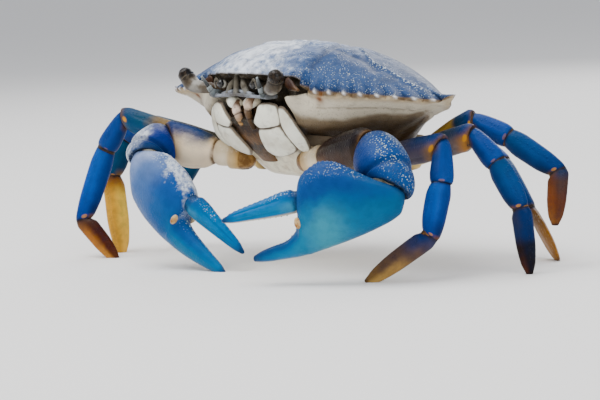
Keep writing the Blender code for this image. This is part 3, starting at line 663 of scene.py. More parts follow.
# Where each limb leaves the trunk, from the claw back: across, along and up.
SOCKETS = ((17.0, -18.0, -21.0), (25.0, -10.0, -21.0), (28.0, 0.0, -20.0),
           (27.0, 10.0, -18.0), (24.0, 18.0, -14.0))
CLAW, LEG_1, LEG_2, LEG_3, SWIMMER = range(5)
LIMB_NAMES = ("claw_leg", "walking_leg_1", "walking_leg_2", "walking_leg_3", "swimming_leg")
LINK_NAMES = ("base", "merus", "carpus", "propodus", "dactyl")
LIMBS = {  # side: links of each limb as (length, heading, rise); heading 90 points straight ahead
    1: (((33.0, 2, 9), (20.0, 19, -32), (26.5, 142, -8), (23.0, 140, -11)),
        ((40.0, -9, 9), (11.5, 43, -64), (15.5, 84, -71), (23.0, 134, -34)),
        ((37.0, -14, 14), (11.5, -12, -42), (15.0, -15, -58), (19.5, -65, -84)),
        ((26.5, -28, 26), (12.5, -20, -23), (18.5, -25, -32), (16.0, 63, -76)),
        ((18.5, -75, 7), (14.0, -9, -32), (16.5, -8, -53), (18.5, -9, -56))),
    -1: (((27.0, 26, 12), (13.0, 112, -20), (23.0, -168, -38), (23.0, -160, -36)),
         ((49.0, 22, 15), (12.5, 18, -50), (24.0, 68, -69), (17.5, -151, -48)),
         ((48.5, 20, 12), (11.0, 17, -18), (14.0, 24, -66), (26.5, 168, -78)),
         ((35.5, 10, 3), (11.5, 9, -8), (16.0, 24, -54), (19.0, 147, -76)),
         ((20.0, -55, 22), (12.0, -30, 12), (15.0, 2, 0), (20.0, 14, 6))),
}
FACING = {1: (50, 50, 42, 40, 145), -1: (-20, -50, -50, -50, 100)}   # heading of each limb's thin side
SIDE_NAMES = {1: "left", -1: "right"}


def through(rows, t):
    """Soft curve through rows of (fraction, values...), which never overshoots them."""
    rows = np.array(rows, float)
    x, y = rows[:, 0], rows[:, 1:]
    rise = np.diff(y, axis=0) / np.diff(x)[:, None]
    slope = np.zeros_like(y)
    product = rise[:-1] * rise[1:]
    with np.errstate(divide="ignore", invalid="ignore"):
        slope[1:-1] = np.where(product > 0, 2 * product / (rise[:-1] + rise[1:]), 0.0)
    slope[0], slope[-1] = rise[0], rise[-1]
    t = np.clip(t, x[0], x[-1])
    k = np.clip(np.searchsorted(x, t, side="right") - 1, 0, len(x) - 2)
    width = (x[k + 1] - x[k])[:, None]
    return soft_step(y[k], y[k + 1], slope[k] * width, slope[k + 1] * width, (t - x[k])[:, None] / width)


def unit(vector):
    """One vector, or each row of many, at length 1."""
    return vector / np.linalg.norm(vector, axis=-1, keepdims=True)


class Link:
    """One stiff link between two joints, with its own axis, broad side and thin side."""

    def __init__(self, name, start, end, side, facing):
        self.name = name
        self.start, self.end = np.array(start), np.array(end)
        self.length = float(np.linalg.norm(self.end - self.start))
        self.axis = (self.end - self.start) / self.length
        look = math.radians(facing)
        thin = np.array((side * math.sin(look), -math.cos(look), 0.0))
        self.thin = unit(thin - self.axis * thin.dot(self.axis))
        self.broad = np.cross(self.axis, self.thin)
        if self.broad.dot((side * 0.35, 0.0, 1.0)) < 0:
            self.broad, self.thin = -self.broad, -self.thin
        self.near = self.far = (0.0, 0.0)

    def lean(self, normal):
        """How far a joint plane runs along the link for each millimetre across it and up it."""
        along = normal.dot(self.axis)
        return -normal.dot(self.thin) / along, -normal.dot(self.broad) / along

    def places(self, t, across, up, beyond=0.0):
        """Standing places of points on the link; nothing goes below the ground."""
        near = self.near[0] * across + self.near[1] * up
        far = self.far[0] * across + self.far[1] * up
        along = self.length * t + near * (1 - t) ** JOINT_BLEND + far * np.maximum(t, 0.0) ** JOINT_BLEND
        held = np.clip(along, near + GAP / 2, np.maximum(self.length + far - GAP / 2, near + GAP / 2))
        along = np.where(t <= 1.0, held, along) + beyond
        spots = (self.start + np.outer(along, self.axis) + np.outer(across, self.thin)
                 + np.outer(up, self.broad))
        spots[:, 2] = np.maximum(spots[:, 2], 0.0)
        return spots


def limb_chain(side, limb):
    """The links of one limb, each leaning half of the bend at its joints."""
    across, along, up = SOCKETS[limb]
    joints = [from_trunk((side * across, along, up))]
    for length, heading, rise in LIMBS[side][limb]:
        h, r = math.radians(heading), math.radians(rise)
        step = (side * math.cos(h) * math.cos(r), -math.sin(h) * math.cos(r), math.sin(r))
        joints.append(joints[-1] + np.array(step) * length)
    names = LINK_NAMES[1:]
    if limb != SWIMMER:
        joints.insert(1, joints[0] + unit(joints[1] - joints[0]) * SOCKET_LENGTH)
        names = LINK_NAMES
    links = [Link("_".join((LIMB_NAMES[limb], SIDE_NAMES[side], name)), a, b, side, FACING[side][limb])
             for name, a, b in zip(names, joints, joints[1:])]
    links[0].near = links[0].lean(links[0].axis)
    for before, after in zip(links, links[1:]):
        shared = unit(before.axis + after.axis)
        if limb != CLAW or after is not links[-1]:
            before.far, after.near = before.lean(shared), after.lean(shared)
    return dict(zip(names, links))


def furrowed(angle, furrows):
    """How far the surface is sunk at an angle round the link, 0 being its thin side.

    A furrow is (centre in degrees, width in degrees, depth in millimetres).
    """
    depth = np.zeros(angle.shape)
    for centre, width, sink in furrows:
        turn = np.mod(angle - math.radians(centre) + math.pi, 2 * math.pi) - math.pi
        depth = depth + sink * bell(turn, math.radians(width))
    return depth


def squared_off(wave, power):
    """A sine or cosine whose section is squarer below power 1 and keener above it."""
    return np.sign(wave) * np.abs(wave) ** power


def link_shell(link, form, keen=1.0, furrows=(), near_dome=1.2, far_dome=-0.8, around=LINK_AROUND,
               along=LINK_ALONG, extra=None):
    """Shell of one link, its form given as rows of (share along, upper edge, lower edge, thickness).

    keen above 1 sharpens its upper and lower edges, and domes close its ends.
    """
    first, last = form[0][0], form[-1][0]

    def shape(u, v):
        # The first and last rings close the ends: they shrink to a point, bulging out or sunk in.
        t = mix(first, last, np.clip((v - CAP_SHARE) / (1 - 2 * CAP_SHARE), 0.0, 1.0))
        near_cap = np.clip(1 - v / CAP_SHARE, 0.0, 1.0)
        far_cap = np.clip(1 - (1 - v) / CAP_SHARE, 0.0, 1.0)
        close = np.cos(math.pi / 2 * np.maximum(near_cap, far_cap))
        beyond = (-near_dome * np.sin(math.pi / 2 * near_cap) + far_dome * np.sin(math.pi / 2 * far_cap))
        upper, lower, thickness = through(form, t).T
        angle = 2 * math.pi * u
        middle, half = (upper + lower) / 2, (upper - lower) / 2
        # Furrows stay clear of the ends, while a link's own extra relief may reach them.
        share = smooth_step(t, first + 0.08, first + 0.26) * smooth_step(t, last - 0.06, last - 0.2)
        sink = furrowed(angle, furrows) * share
        if extra is not None:
            sink = sink - extra(angle, t)
        reach = np.hypot(thickness / 2 * np.cos(angle), half * np.sin(angle))
        scale = close * (1.0 - sink / np.maximum(reach, 1.0))
        across = thickness / 2 * squared_off(np.cos(angle), keen) * scale
        up = middle + half * np.sin(angle) * scale
        part = (t - first) / (last - first)
        ends = np.maximum(bell(part, END_BAND), bell(part - 1.0, END_BAND))
        ends = np.maximum(ends, np.maximum(near_cap, far_cap))
        masks = {"along": part, "upper": 0.5 + 0.5 * np.sin(angle), "ends": ends,
                 "sunk": np.clip(sink / 0.35, -1.0, 1.0),
                 "hinge": bell(part - HINGE_AT, END_BAND) * np.abs(np.cos(angle)) ** 14}
        return link.places(t, across, up, beyond), masks

    return wrapped_grid(link.name + "_shell", around, along, shape)


def limb_finish(name, upper, lower, grain=0.0, grain_size=1.0, grain_from=0.4, grain_to=1.1,
                grain_colour=(206, 224, 240), ends=(96, 72, 52), mottle=0.25, relief=0.1, gloss=0.3,
                coat=0.06, spread=0.62, frost=0.0, frost_from=0.72, frost_to=1.0, belly=None, hinge=0.0):
    """Satin limb shell: one run of colours along its upper edge, one along its lower, and pale grains."""
    finish = Finish(name)
    wander = finish.math("SUBTRACT", finish.noise(6.0), 0.5)
    along = finish.plus(finish.mask("along"), finish.times(wander, 0.16))
    height = finish.plus(finish.mask("upper"), finish.times(wander, 0.35))
    share = finish.remap(height, spread - 0.32, spread + 0.14)
    colour = finish.blend(finish.ramp(along, lower), finish.ramp(along, upper), share)
    darker = finish.blend(colour, paint(12, 30, 70), 0.55)
    shade = finish.remap(finish.noise(2.6, 4.0), 0.4, 0.7)
    colour = finish.blend(colour, darker, finish.times(shade, mottle))
    # Pale grains crowd on the upper part, and stop at a share of the link's length.
    dots = finish.remap(finish.grains(grain_size), 0.18, 0.4, 1.0, 0.0)
    crowd = finish.remap(finish.mask("upper"), grain_from, min(grain_from + 0.45, 1.0))
    crowd = finish.times(crowd, finish.remap(finish.mask("along"), grain_to - 0.15, grain_to, 1.0, 0.0))
    dotted = finish.times(dots, crowd)
    patchy = finish.times(dotted, finish.remap(finish.noise(4.5), 0.32, 0.62))
    colour = finish.blend(colour, paint(*grain_colour), finish.times(patchy, grain, clamp=True))
    # Pale frost over the upper side; on the right claw it is mostly painted sheen where the light falls.
    if frost:
        frost_and_sheen = finish.plus(finish.mask("upper"), finish.times(wander, 1.3))
        frost_and_sheen = finish.times(finish.remap(frost_and_sheen, frost_from, 1.05),
                            finish.remap(finish.noise(1.1, 4.0), 0.36, 0.58, 0.35, 1.0))
        frost_and_sheen = finish.times(frost_and_sheen, finish.remap(along, frost_to, frost_to + 0.12, frost, 0.0))
        colour = finish.blend(colour, paint(214, 220, 236), frost_and_sheen)
    edge = finish.times(finish.mask("ends"), finish.remap(finish.noise(1.8), 0.3, 0.6, 0.5, 0.95))
    colour = finish.blend(colour, paint(*ends), edge)
    if belly is not None:
        under = finish.remap(finish.mask("upper"), 0.03, 0.14, 0.85, 0.0)
        colour = finish.blend(colour, paint(*belly), under)
    if hinge:
        golden = finish.remap(finish.plus(finish.mask("hinge"), wander), 0.45, 0.8, 0.0, hinge)
        colour = finish.blend(colour, paint(222, 150, 36), golden)
    # Painted shade in the furrows and folds, as deep as they are sunk.
    dark = finish.remap(finish.mask("sunk"), 0.15, 0.9, 0.0, 0.25)
    colour = finish.blend(colour, paint(20, 22, 40), dark)
    normal = finish.bump(finish.plus(dotted, finish.noise(0.6, 3.0)), relief)
    return finish.finished(colour, finish.gloss(1.5, gloss, gloss + 0.16), normal, coat)


def dress_link(link, form, finish, slot, keen=1.0, furrows=(), **build):
    """The link's shell, in its finish, in place of the link's solid."""
    dressed(link_shell(link, form, keen, furrows, **build), finish, slot, link.name)


CHAINS = {(side, limb): limb_chain(side, limb) for side in (1, -1) for limb in range(5)}

# ---- Limb roots -------------------------------------------------------------------------------------
# Coxa and ischium: short stout tubes of thick cream shell, yellow on the walking legs, set in the sockets
# beside the breastplate and held by skin.
BASE_FORM = ((0.0, 3.4, -3.4, 5.6), (0.2, 4.0, -4.0, 6.4), (0.38, 4.2, -4.2, 6.7), (0.5, 3.7, -3.7, 6.0),
             (0.56, 3.8, -3.8, 6.1), (0.82, 4.1, -4.1, 6.3), (1.0, 3.4, -3.4, 5.2))
CLAW_BASE_COLOURS = (((0.0, 206, 160, 90), (0.3, 200, 170, 124), (0.6, 206, 188, 156),
                      (1.0, 196, 174, 138)),
                     ((0.0, 214, 170, 100), (0.3, 214, 184, 134), (0.6, 222, 206, 178),
                      (1.0, 212, 192, 160)))
LEG_BASE_COLOURS = (((0.0, 140, 104, 50), (0.5, 206, 158, 70), (1.0, 196, 158, 92)),
                    ((0.0, 150, 118, 66), (0.5, 222, 190, 120), (1.0, 214, 190, 140)))
CLAW_ROOT_DOME, LEG_ROOT_DOME = 4.5, 2.0   # how far a root bulges into the trunk


def make_limb_roots():
    claw_root = limb_finish("claw_root_shell", *CLAW_BASE_COLOURS, grain=0.2, mottle=0.12,
                            grain_colour=(240, 232, 214), ends=(150, 104, 56))
    leg_root = limb_finish("leg_root_shell", *LEG_BASE_COLOURS, grain=0.15, mottle=0.12,
                           grain_colour=(240, 226, 190), ends=(110, 70, 34))
    for (_, limb), chain in CHAINS.items():
        if limb != SWIMMER:
            finish, dome = (claw_root, CLAW_ROOT_DOME) if limb == CLAW else (leg_root, LEG_ROOT_DOME)
            dress_link(chain["base"], BASE_FORM, finish, "limb_base_shell", near_dome=dome, far_dome=-0.4,
                       along=48)


make_limb_roots()

# ---- Claws ------------------------------------------------------------------------------------------
# The front pair: long upper arm, knobbly wrist, and a swollen hand whose lower finger is fixed and whose
# upper finger swings.  Thick glossy shell, granular above and smooth below.
LEFT_ARM_FORM = ((0.0, 3.6, -3.6, 6.0), (0.2, 5.0, -4.6, 7.4), (0.6, 6.2, -5.6, 8.6),
                 (0.86, 6.3, -5.4, 8.6), (0.93, 5.8, -4.9, 8.0), (1.0, 4.8, -4.2, 6.8))
WRIST_FORM = ((0.0, 5.2, -4.0, 8.0), (0.12, 7.2, -5.4, 11.0), (0.3, 8.8, -6.4, 13.6),
              (0.5, 9.3, -6.7, 14.0), (0.78, 7.9, -5.6, 11.6), (0.92, 6.1, -4.5, 9.2),
              (1.0, 4.5, -3.6, 7.2))
RIGHT_ARM_FORM = ((0.0, 3.6, -4.0, 6.0), (0.2, 5.0, -6.0, 7.4), (0.6, 6.0, -7.2, 8.6),
                  (0.86, 6.1, -6.4, 8.6), (0.93, 5.8, -5.4, 8.0), (1.0, 4.8, -4.2, 6.8))
LEFT_PALM_FORM = ((0.0, 1.8, -3.4, 6.4), (0.06, 3.2, -5.6, 8.4), (0.13, 4.8, -8.0, 9.8),
                  (0.32, 7.8, -10.7, 11.8), (0.52, 10.0, -12.5, 12.8), (0.68, 10.6, -13.5, 12.6),
                  (0.86, 8.9, -14.4, 11.4), (0.95, 7.2, -14.8, 10.2), (0.99, 5.0, -15.0, 9.2),
                  (1.015, 0.6, -15.0, 8.6), (1.035, -3.6, -15.0, 8.0), (1.07, -6.4, -15.1, 7.4),
                  (1.14, -8.6, -15.2, 6.4), (1.24, -10.2, -15.2, 5.4), (1.38, -11.0, -15.2, 4.2),
                  (1.48, -11.8, -15.0, 3.3), (1.54, -12.7, -14.6, 1.8))
RIGHT_PALM_FORM = ((0.0, 2.6, -3.4, 6.4), (0.06, 3.8, -6.4, 8.4), (0.13, 4.9, -9.0, 9.8),
                   (0.32, 6.3, -13.2, 11.8), (0.6, 6.5, -14.6, 12.6), (0.84, 5.3, -14.8, 11.6),
                   (0.95, 4.2, -14.7, 10.2), (1.0, 1.6, -14.6, 9.2), (1.04, -3.8, -14.4, 8.3),
                   (1.12, -5.0, -14.2, 7.6), (1.3, -5.7, -13.6, 6.2), (1.64, -6.1, -11.4, 4.2),
                   (1.86, -6.3, -9.4, 3.0), (1.96, -6.8, -8.3, 1.7))
FINGER_FORM = ((0.04, 3.7, -2.3, 5.8), (0.1, 4.4, -2.6, 6.2), (0.2, 4.3, -2.6, 6.0), (0.4, 3.5, -2.4, 5.1),
               (0.7, 2.4, -1.9, 4.0), (0.9, 1.5, -1.5, 2.8), (1.0, 0.6, -1.0, 1.5))
HAND_FURROWS = ((58, 10, 0.12), (22, 12, 0.12), (-14, 12, 0.1), (122, 10, 0.12), (158, 12, 0.12),
                (194, 12, 0.1))
FINGER_FURROWS = ((30, 12, 0.25), (-28, 12, 0.2), (150, 12, 0.25), (208, 12, 0.2))
ARM_FURROWS = ((50, 8, 0.25), (130, 8, 0.25), (-60, 8, 0.2), (240, 8, 0.2))
CLAW_TOOTH_SPACING = 1.5
CLAW_TOOTH_RADII = (0.5, 0.24)   # of the first and the last tooth of a row
CLAW_TOOTH_STRETCH = (0.8, 0.8, 1.25)
CLAW_TOOTH_SINK = 0.3            # how far a tooth's middle lies inside the finger's edge
FIXED_TEETH_FROM = 1.09          # where the row starts, past the throat between the fingers
FIXED_TEETH_SHORT = 0.04         # how far before the fixed finger's tip it ends
SWINGING_TEETH = (0.2, 0.94)     # where the row on the other finger starts and ends
HAND_BEADS, FINGER_BEADS = 17, 14
KNUCKLE_AT, KNUCKLE_UP, KNUCKLE_ASIDE = 1.02, -5.2, 4.2
KNUCKLE_SIZE = (1.0, 1.7, 1.0)
ARM_COLOURS = {
    # The left arm's dark brown is painted shade, where it lies under the trunk.
    1: (((0.0, 70, 48, 32), (0.5, 42, 30, 24), (1.0, 36, 28, 30)),
        ((0.0, 140, 96, 54), (0.4, 96, 60, 34), (0.8, 90, 58, 34), (1.0, 120, 90, 60))),
    -1: (((0.0, 206, 176, 130), (0.16, 70, 84, 106), (0.34, 2, 58, 120), (1.0, 4, 54, 124)),
         ((0.0, 222, 200, 170), (0.5, 226, 204, 172), (0.85, 214, 186, 146), (1.0, 150, 120, 90))),
}
WRIST_COLOURS = {
    1: (((0.0, 16, 78, 152), (0.6, 12, 86, 166), (1.0, 10, 84, 160)),
        ((0.0, 8, 52, 120), (0.5, 6, 66, 148), (1.0, 10, 76, 156))),
    -1: (((0.0, 60, 96, 160), (0.5, 30, 76, 150), (1.0, 30, 80, 150)),
         ((0.0, 4, 40, 120), (0.6, 6, 54, 150), (1.0, 30, 70, 120))),
}
ARM_FORMS = {1: LEFT_ARM_FORM, -1: RIGHT_ARM_FORM}
ARM_LOOK = {1: {"spread": 0.6}, -1: {"spread": 0.82}}
HAND_FORMS = {1: LEFT_PALM_FORM, -1: RIGHT_PALM_FORM}
# The right claw's strong frost is mostly painted sheen where light falls on its wrist and hand.
WRIST_LOOK = {1: {"frost": 0.3, "frost_from": 0.8, "frost_to": 0.35},
              -1: {"frost": 0.95, "frost_from": 0.2, "frost_to": 0.9}}
HAND_LOOK = {1: {"spread": 0.62}, -1: {"spread": 0.66, "frost": 0.6, "frost_from": 0.88, "frost_to": 0.46}}
HAND_COLOURS = {
    1: (((0.0, 2, 96, 160), (0.3, 2, 80, 160), (0.55, 2, 84, 166), (0.7, 2, 104, 176),
         (1.0, 10, 84, 150)),
        ((0.0, 2, 104, 160), (0.26, 8, 124, 180), (0.5, 58, 166, 194), (0.66, 26, 150, 198),
         (0.8, 24, 146, 206), (1.0, 20, 112, 180))),
    -1: (((0.0, 160, 176, 212), (0.16, 108, 142, 204), (0.36, 30, 96, 182), (0.6, 8, 100, 184),
          (1.0, 8, 132, 200)),
         ((0.0, 140, 164, 214), (0.2, 80, 130, 204), (0.42, 10, 104, 184), (0.66, 24, 144, 198),
          (1.0, 16, 130, 190))),
}
FINGER_COLOURS = (((0.0, 2, 100, 176), (0.4, 2, 136, 212), (0.8, 2, 130, 206), (1.0, 10, 100, 170)),
                  ((0.0, 60, 160, 206), (0.3, 10, 146, 212), (0.8, 6, 140, 210), (1.0, 30, 110, 170)))


def hand_edge(angle, t):
    """Beaded keel along the hand's upper edge."""
    beads = 0.5 + 0.5 * np.cos(2 * math.pi * t * HAND_BEADS)
    top = bell(angle - math.pi / 2, 0.16) * smooth_step(t, 0.08, 0.2) * smooth_step(t, 1.0, 0.9)
    return top * (0.15 + 0.22 * beads)


def finger_edge(angle, t):
    """Low saw teeth along the swinging finger's upper edge."""
    beads = 0.5 + 0.5 * np.cos(2 * math.pi * t * FINGER_BEADS)
    return bell(angle - math.pi / 2, 0.3) * smooth_step(t, 0.1, 0.2) * 0.16 * beads


def wrist_fold(angle, t):
    """Groove round the wrist that parts its smooth far lobe from the grainy dome."""
    return -0.75 * bell(t - 0.74 + 0.1 * np.sin(angle), 0.045)


def tooth_finish():
    finish = Finish("claw_tooth_enamel")
    colour = finish.ramp(finish.noise(0.9), ((0.3, 70, 140, 180), (0.6, 150, 180, 196),
                                             (0.75, 200, 204, 200)))
    normal = finish.bump(finish.noise(0.5), 0.03)
    return finish.finished(colour, finish.gloss(1.0, 0.25, 0.4), normal, coat=0.3)


def make_teeth(name, link, form, extent, edge, scale, material):
    """A row of small blunt teeth along a finger's edge, upper (0) or lower (1), joined into one piece."""
    count = max(3, int((extent[1] - extent[0]) * link.length / CLAW_TOOTH_SPACING))
    t = np.linspace(*extent, count)
    outward = 1.0 if edge == 0 else -1.0
    spots = link.places(t, np.zeros(count), through(form, t)[:, edge] - outward * CLAW_TOOTH_SINK)
    aim = Vector(outward * link.broad).to_track_quat("Z", "Y").to_matrix().to_4x4()
    made = []
    for spot, size in zip(spots, np.linspace(*CLAW_TOOTH_RADII, count) * scale):
        tooth = new_piece(name, bpy.ops.mesh.primitive_uv_sphere_add, segments=12, ring_count=8,
                          radius=size * MM)
        tooth.data.transform(Matrix.Translation(Vector(spot) * MM) @ aim
                             @ Matrix.Diagonal((*CLAW_TOOTH_STRETCH, 1.0)))
        made.append(tooth)
    for tooth in made:
        tooth.select_set(True)
    bpy.context.view_layer.objects.active = made[0]
    bpy.ops.object.join()
    bpy.ops.object.shade_smooth_by_angle(angle=math.radians(60))
    dressed(made[0], material, "claw_finger_shell")


def skin_finish(name, dark, middle, pale):
    """Leathery joint skin, also the look of the worn bearing knobs, with amber clouds."""
    finish = Finish(name)
    colour = finish.ramp(finish.noise(2.0), ((0.3, *dark), (0.55, *middle), (0.75, *pale)))
    colour = finish.blend(colour, paint(190, 128, 50), finish.remap(finish.noise(3.4), 0.56, 0.7, 0.0, 0.7))
    normal = finish.bump(finish.noise(0.7), 0.1)
    return finish.finished(colour, finish.gloss(1.0, 0.35, 0.5), normal, coat=0.1)


def make_knuckles(name, link, finish):
    """Smooth bearing knobs of pale shell in the throat between the fingers, on each face of the hand."""
    for face, spread in (("inner", -1), ("outer", 1)):
        knob = new_piece(name + "_" + face, bpy.ops.mesh.primitive_uv_sphere_add, segments=28,
                         ring_count=18, radius=1.0)
        spot = link.places(np.array([KNUCKLE_AT]), np.array([spread * KNUCKLE_ASIDE]),
                           np.array([KNUCKLE_UP]))[0]
        axes = np.stack((link.axis, link.broad, link.thin), axis=1) @ np.diag(KNUCKLE_SIZE) * MM
        knob.data.transform(Matrix.Translation(Vector(spot) * MM) @ Matrix(axes.tolist()).to_4x4())
        knob.data.polygons.foreach_set("use_smooth", [True] * len(knob.data.polygons))
        dressed(knob, finish, "claw_finger_shell")


def make_claws():
    enamel = tooth_finish()
    knob = skin_finish("hand_knuckle_shell", (196, 120, 40), (206, 176, 128), (226, 210, 184))
    for side, label in SIDE_NAMES.items():
        arm, wrist, hand, finger = (CHAINS[side, CLAW][name] for name in LINK_NAMES[1:])
        arm_look = limb_finish("claw_arm_shell_" + label, *ARM_COLOURS[side], mottle=0.1,
                               ends=(120, 88, 56), **ARM_LOOK[side])
        dress_link(arm, ARM_FORMS[side], arm_look, "merus_shell", furrows=ARM_FURROWS)
        wrist_look = limb_finish("claw_wrist_shell_" + label, *WRIST_COLOURS[side], grain=0.9,
                                 grain_size=0.65, grain_from=0.35, relief=0.2, ends=(40, 60, 90),
                                 **WRIST_LOOK[side])
        dress_link(wrist, WRIST_FORM, wrist_look, "claw_shell", extra=wrist_fold, around=96, along=120)
        hand_look = limb_finish("claw_hand_shell_" + label, *HAND_COLOURS[side], grain=0.6, grain_size=0.7,
                                grain_from=0.8, grain_to=0.66, relief=0.14, ends=(30, 70, 120),
                                **HAND_LOOK[side])
        dress_link(hand, HAND_FORMS[side], hand_look, "claw_shell", furrows=HAND_FURROWS, far_dome=0.5,
                   extra=hand_edge, around=112, along=190)
        finger_look = limb_finish("claw_finger_shell_" + label, *FINGER_COLOURS, grain=0.7, grain_size=0.6,
                                  grain_from=0.72, grain_to=0.5, ends=(24, 70, 120), belly=(206, 190, 160))
        dress_link(finger, FINGER_FORM, finger_look, "claw_finger_shell", furrows=FINGER_FURROWS,
                   near_dome=3.6, far_dome=1.2, extra=finger_edge, along=120)
        make_knuckles("hand_knuckle_" + label, hand, knob)
        fixed_teeth = (FIXED_TEETH_FROM, HAND_FORMS[side][-1][0] - FIXED_TEETH_SHORT)
        make_teeth("fixed_finger_teeth_" + label, hand, HAND_FORMS[side], fixed_teeth, 0, 1.0, enamel)
        make_teeth("swinging_finger_teeth_" + label, finger, FINGER_FORM, SWINGING_TEETH, 1, 0.9, enamel)


make_claws()

# ---- Walking legs -----------------------------------------------------------------------------------
# Three pairs behind the claws: flattened links with keen edges and shallow furrows, deep blue from the
# knee on, and a grooved brown and golden tip on which the crab stands.
MERUS_FORM = ((0.0, 2.5, -2.5, 4.4), (0.25, 3.2, -3.2, 5.1), (0.7, 4.0, -3.9, 5.3),
              (0.9, 4.0, -3.8, 5.1), (0.96, 3.6, -3.4, 4.6), (1.0, 3.0, -2.8, 4.0))
CARPUS_FORM = ((0.0, 2.3, -2.1, 3.6), (0.15, 2.9, -2.5, 4.3), (0.4, 3.4, -2.9, 4.8), (0.78, 3.7, -3.3, 4.9),
               (0.92, 3.5, -3.2, 4.6), (1.0, 3.1, -2.9, 4.0))
PROPODUS_FORM = ((0.0, 2.9, -2.8, 3.9), (0.08, 3.3, -3.1, 4.3), (0.25, 3.7, -3.5, 4.7),
                 (0.65, 3.5, -3.4, 4.3), (0.92, 2.8, -2.8, 3.6), (1.0, 2.2, -2.2, 3.0))
DACTYL_FORM = ((0.0, 2.2, -2.2, 3.0), (0.13, 3.1, -3.0, 3.5), (0.5, 2.9, -2.9, 3.1),
               (0.8, 2.2, -2.3, 2.3), (1.0, 0.9, -1.0, 1.2))
BROAD_DACTYL_FORM = ((0.0, 2.6, -2.6, 3.8), (0.13, 3.6, -3.5, 5.2), (0.5, 3.6, -3.6, 5.0),
                     (0.8, 2.8, -2.9, 3.6), (1.0, 1.0, -1.1, 1.5))
MERUS_FURROWS = ((30, 10, 0.2), (150, 10, 0.2), (-35, 10, 0.25), (215, 10, 0.25))
SHIN_FURROWS = ((24, 16, 0.16), (156, 16, 0.16), (-28, 16, 0.12), (208, 16, 0.12))
TIP_FURROWS = ((36, 14, 0.16), (-34, 14, 0.16), (144, 14, 0.16), (214, 14, 0.16))
THIGH_COLOURS = {
    (1, LEG_1): (((0.0, 130, 104, 84), (0.45, 112, 104, 116), (0.75, 40, 74, 130), (1.0, 10, 72, 150)),
                 ((0.0, 170, 140, 110), (0.4, 130, 116, 122), (0.8, 104, 92, 112), (1.0, 190, 140, 80))),
    (1, LEG_2): (((0.0, 180, 146, 84), (0.35, 120, 116, 110), (0.7, 70, 96, 130), (1.0, 10, 70, 150)),
                 ((0.0, 206, 166, 96), (0.4, 160, 146, 140), (0.75, 136, 124, 128), (1.0, 206, 138, 50))),
    (1, LEG_3): (((0.0, 206, 164, 70), (0.58, 190, 150, 60), (0.7, 30, 64, 96), (1.0, 6, 60, 124)),
                 ((0.0, 216, 176, 84), (0.6, 206, 152, 56), (0.78, 50, 56, 70), (1.0, 20, 44, 84))),
    (-1, LEG_1): (((0.0, 206, 176, 120), (0.4, 200, 152, 76), (0.62, 150, 120, 70), (0.76, 24, 84, 116),
                   (1.0, 8, 72, 122)),
                  ((0.0, 60, 90, 130), (0.3, 8, 66, 124), (0.7, 10, 84, 136), (1.0, 10, 86, 130))),
    (-1, LEG_2): (((0.0, 160, 140, 90), (0.45, 110, 112, 100), (1.0, 16, 84, 124)),
                  ((0.0, 210, 170, 90), (0.6, 204, 164, 84), (1.0, 60, 96, 100))),
    (-1, LEG_3): (((0.0, 160, 140, 90), (0.45, 110, 112, 100), (1.0, 16, 56, 120)),
                  ((0.0, 210, 170, 90), (0.6, 204, 164, 84), (1.0, 110, 96, 80))),
}
KNEE_COLOURS = (((0.0, 8, 76, 160), (0.5, 4, 78, 170), (1.0, 4, 80, 170)),
                ((0.0, 110, 76, 40), (0.3, 14, 60, 132), (1.0, 4, 60, 140)))
VIVID_SHIN_COLOURS = (((0.0, 2, 96, 196), (0.5, 2, 96, 204), (1.0, 4, 70, 166)),
                      ((0.0, 2, 72, 160), (0.6, 4, 64, 150), (0.9, 24, 48, 110), (1.0, 150, 96, 50)))
DEEP_SHIN_COLOURS = (((0.0, 4, 80, 140), (0.5, 4, 80, 150), (1.0, 6, 62, 130)),
                     ((0.0, 6, 66, 130), (0.6, 6, 58, 120), (0.9, 24, 48, 90), (1.0, 150, 96, 50)))
TEAL_SHIN_COLOURS = (((0.0, 8, 96, 140), (0.5, 8, 92, 140), (1.0, 10, 84, 130)),
                     ((0.0, 10, 84, 120), (0.7, 8, 66, 110), (1.0, 170, 124, 60)))
TIP_COLOURS = {
    (1, LEG_1): (((0.0, 24, 62, 130), (0.2, 60, 66, 110), (0.42, 110, 84, 72), (1.0, 150, 112, 60)),
                 ((0.0, 60, 66, 110), (0.3, 120, 92, 80), (0.6, 196, 152, 80), (1.0, 196, 158, 84))),
    (1, LEG_2): (((0.0, 8, 54, 120), (0.42, 10, 46, 104), (0.58, 20, 26, 44), (1.0, 34, 24, 22)),
                 ((0.0, 50, 56, 90), (0.4, 30, 50, 96), (0.6, 44, 26, 22), (1.0, 96, 48, 26))),
    (1, LEG_3): (((0.0, 40, 62, 100), (0.25, 90, 62, 52), (0.6, 112, 60, 34), (1.0, 140, 84, 40)),
                 ((0.0, 110, 66, 44), (0.5, 150, 82, 40), (1.0, 176, 112, 52))),
    (-1, LEG_1): (((0.0, 90, 60, 48), (0.3, 84, 36, 18), (0.7, 96, 42, 20), (1.0, 110, 58, 28)),
                  ((0.0, 120, 76, 44), (0.35, 206, 128, 44), (1.0, 214, 146, 56))),
    (-1, LEG_2): (((0.0, 150, 90, 30), (0.3, 226, 164, 44), (1.0, 220, 160, 48)),
                  ((0.0, 180, 112, 30), (0.35, 244, 190, 70), (1.0, 236, 180, 70))),
    (-1, LEG_3): (((0.0, 150, 90, 30), (0.3, 206, 140, 30), (1.0, 190, 130, 32)),
                  ((0.0, 176, 112, 30), (0.35, 216, 154, 40), (1.0, 200, 140, 36))),
}


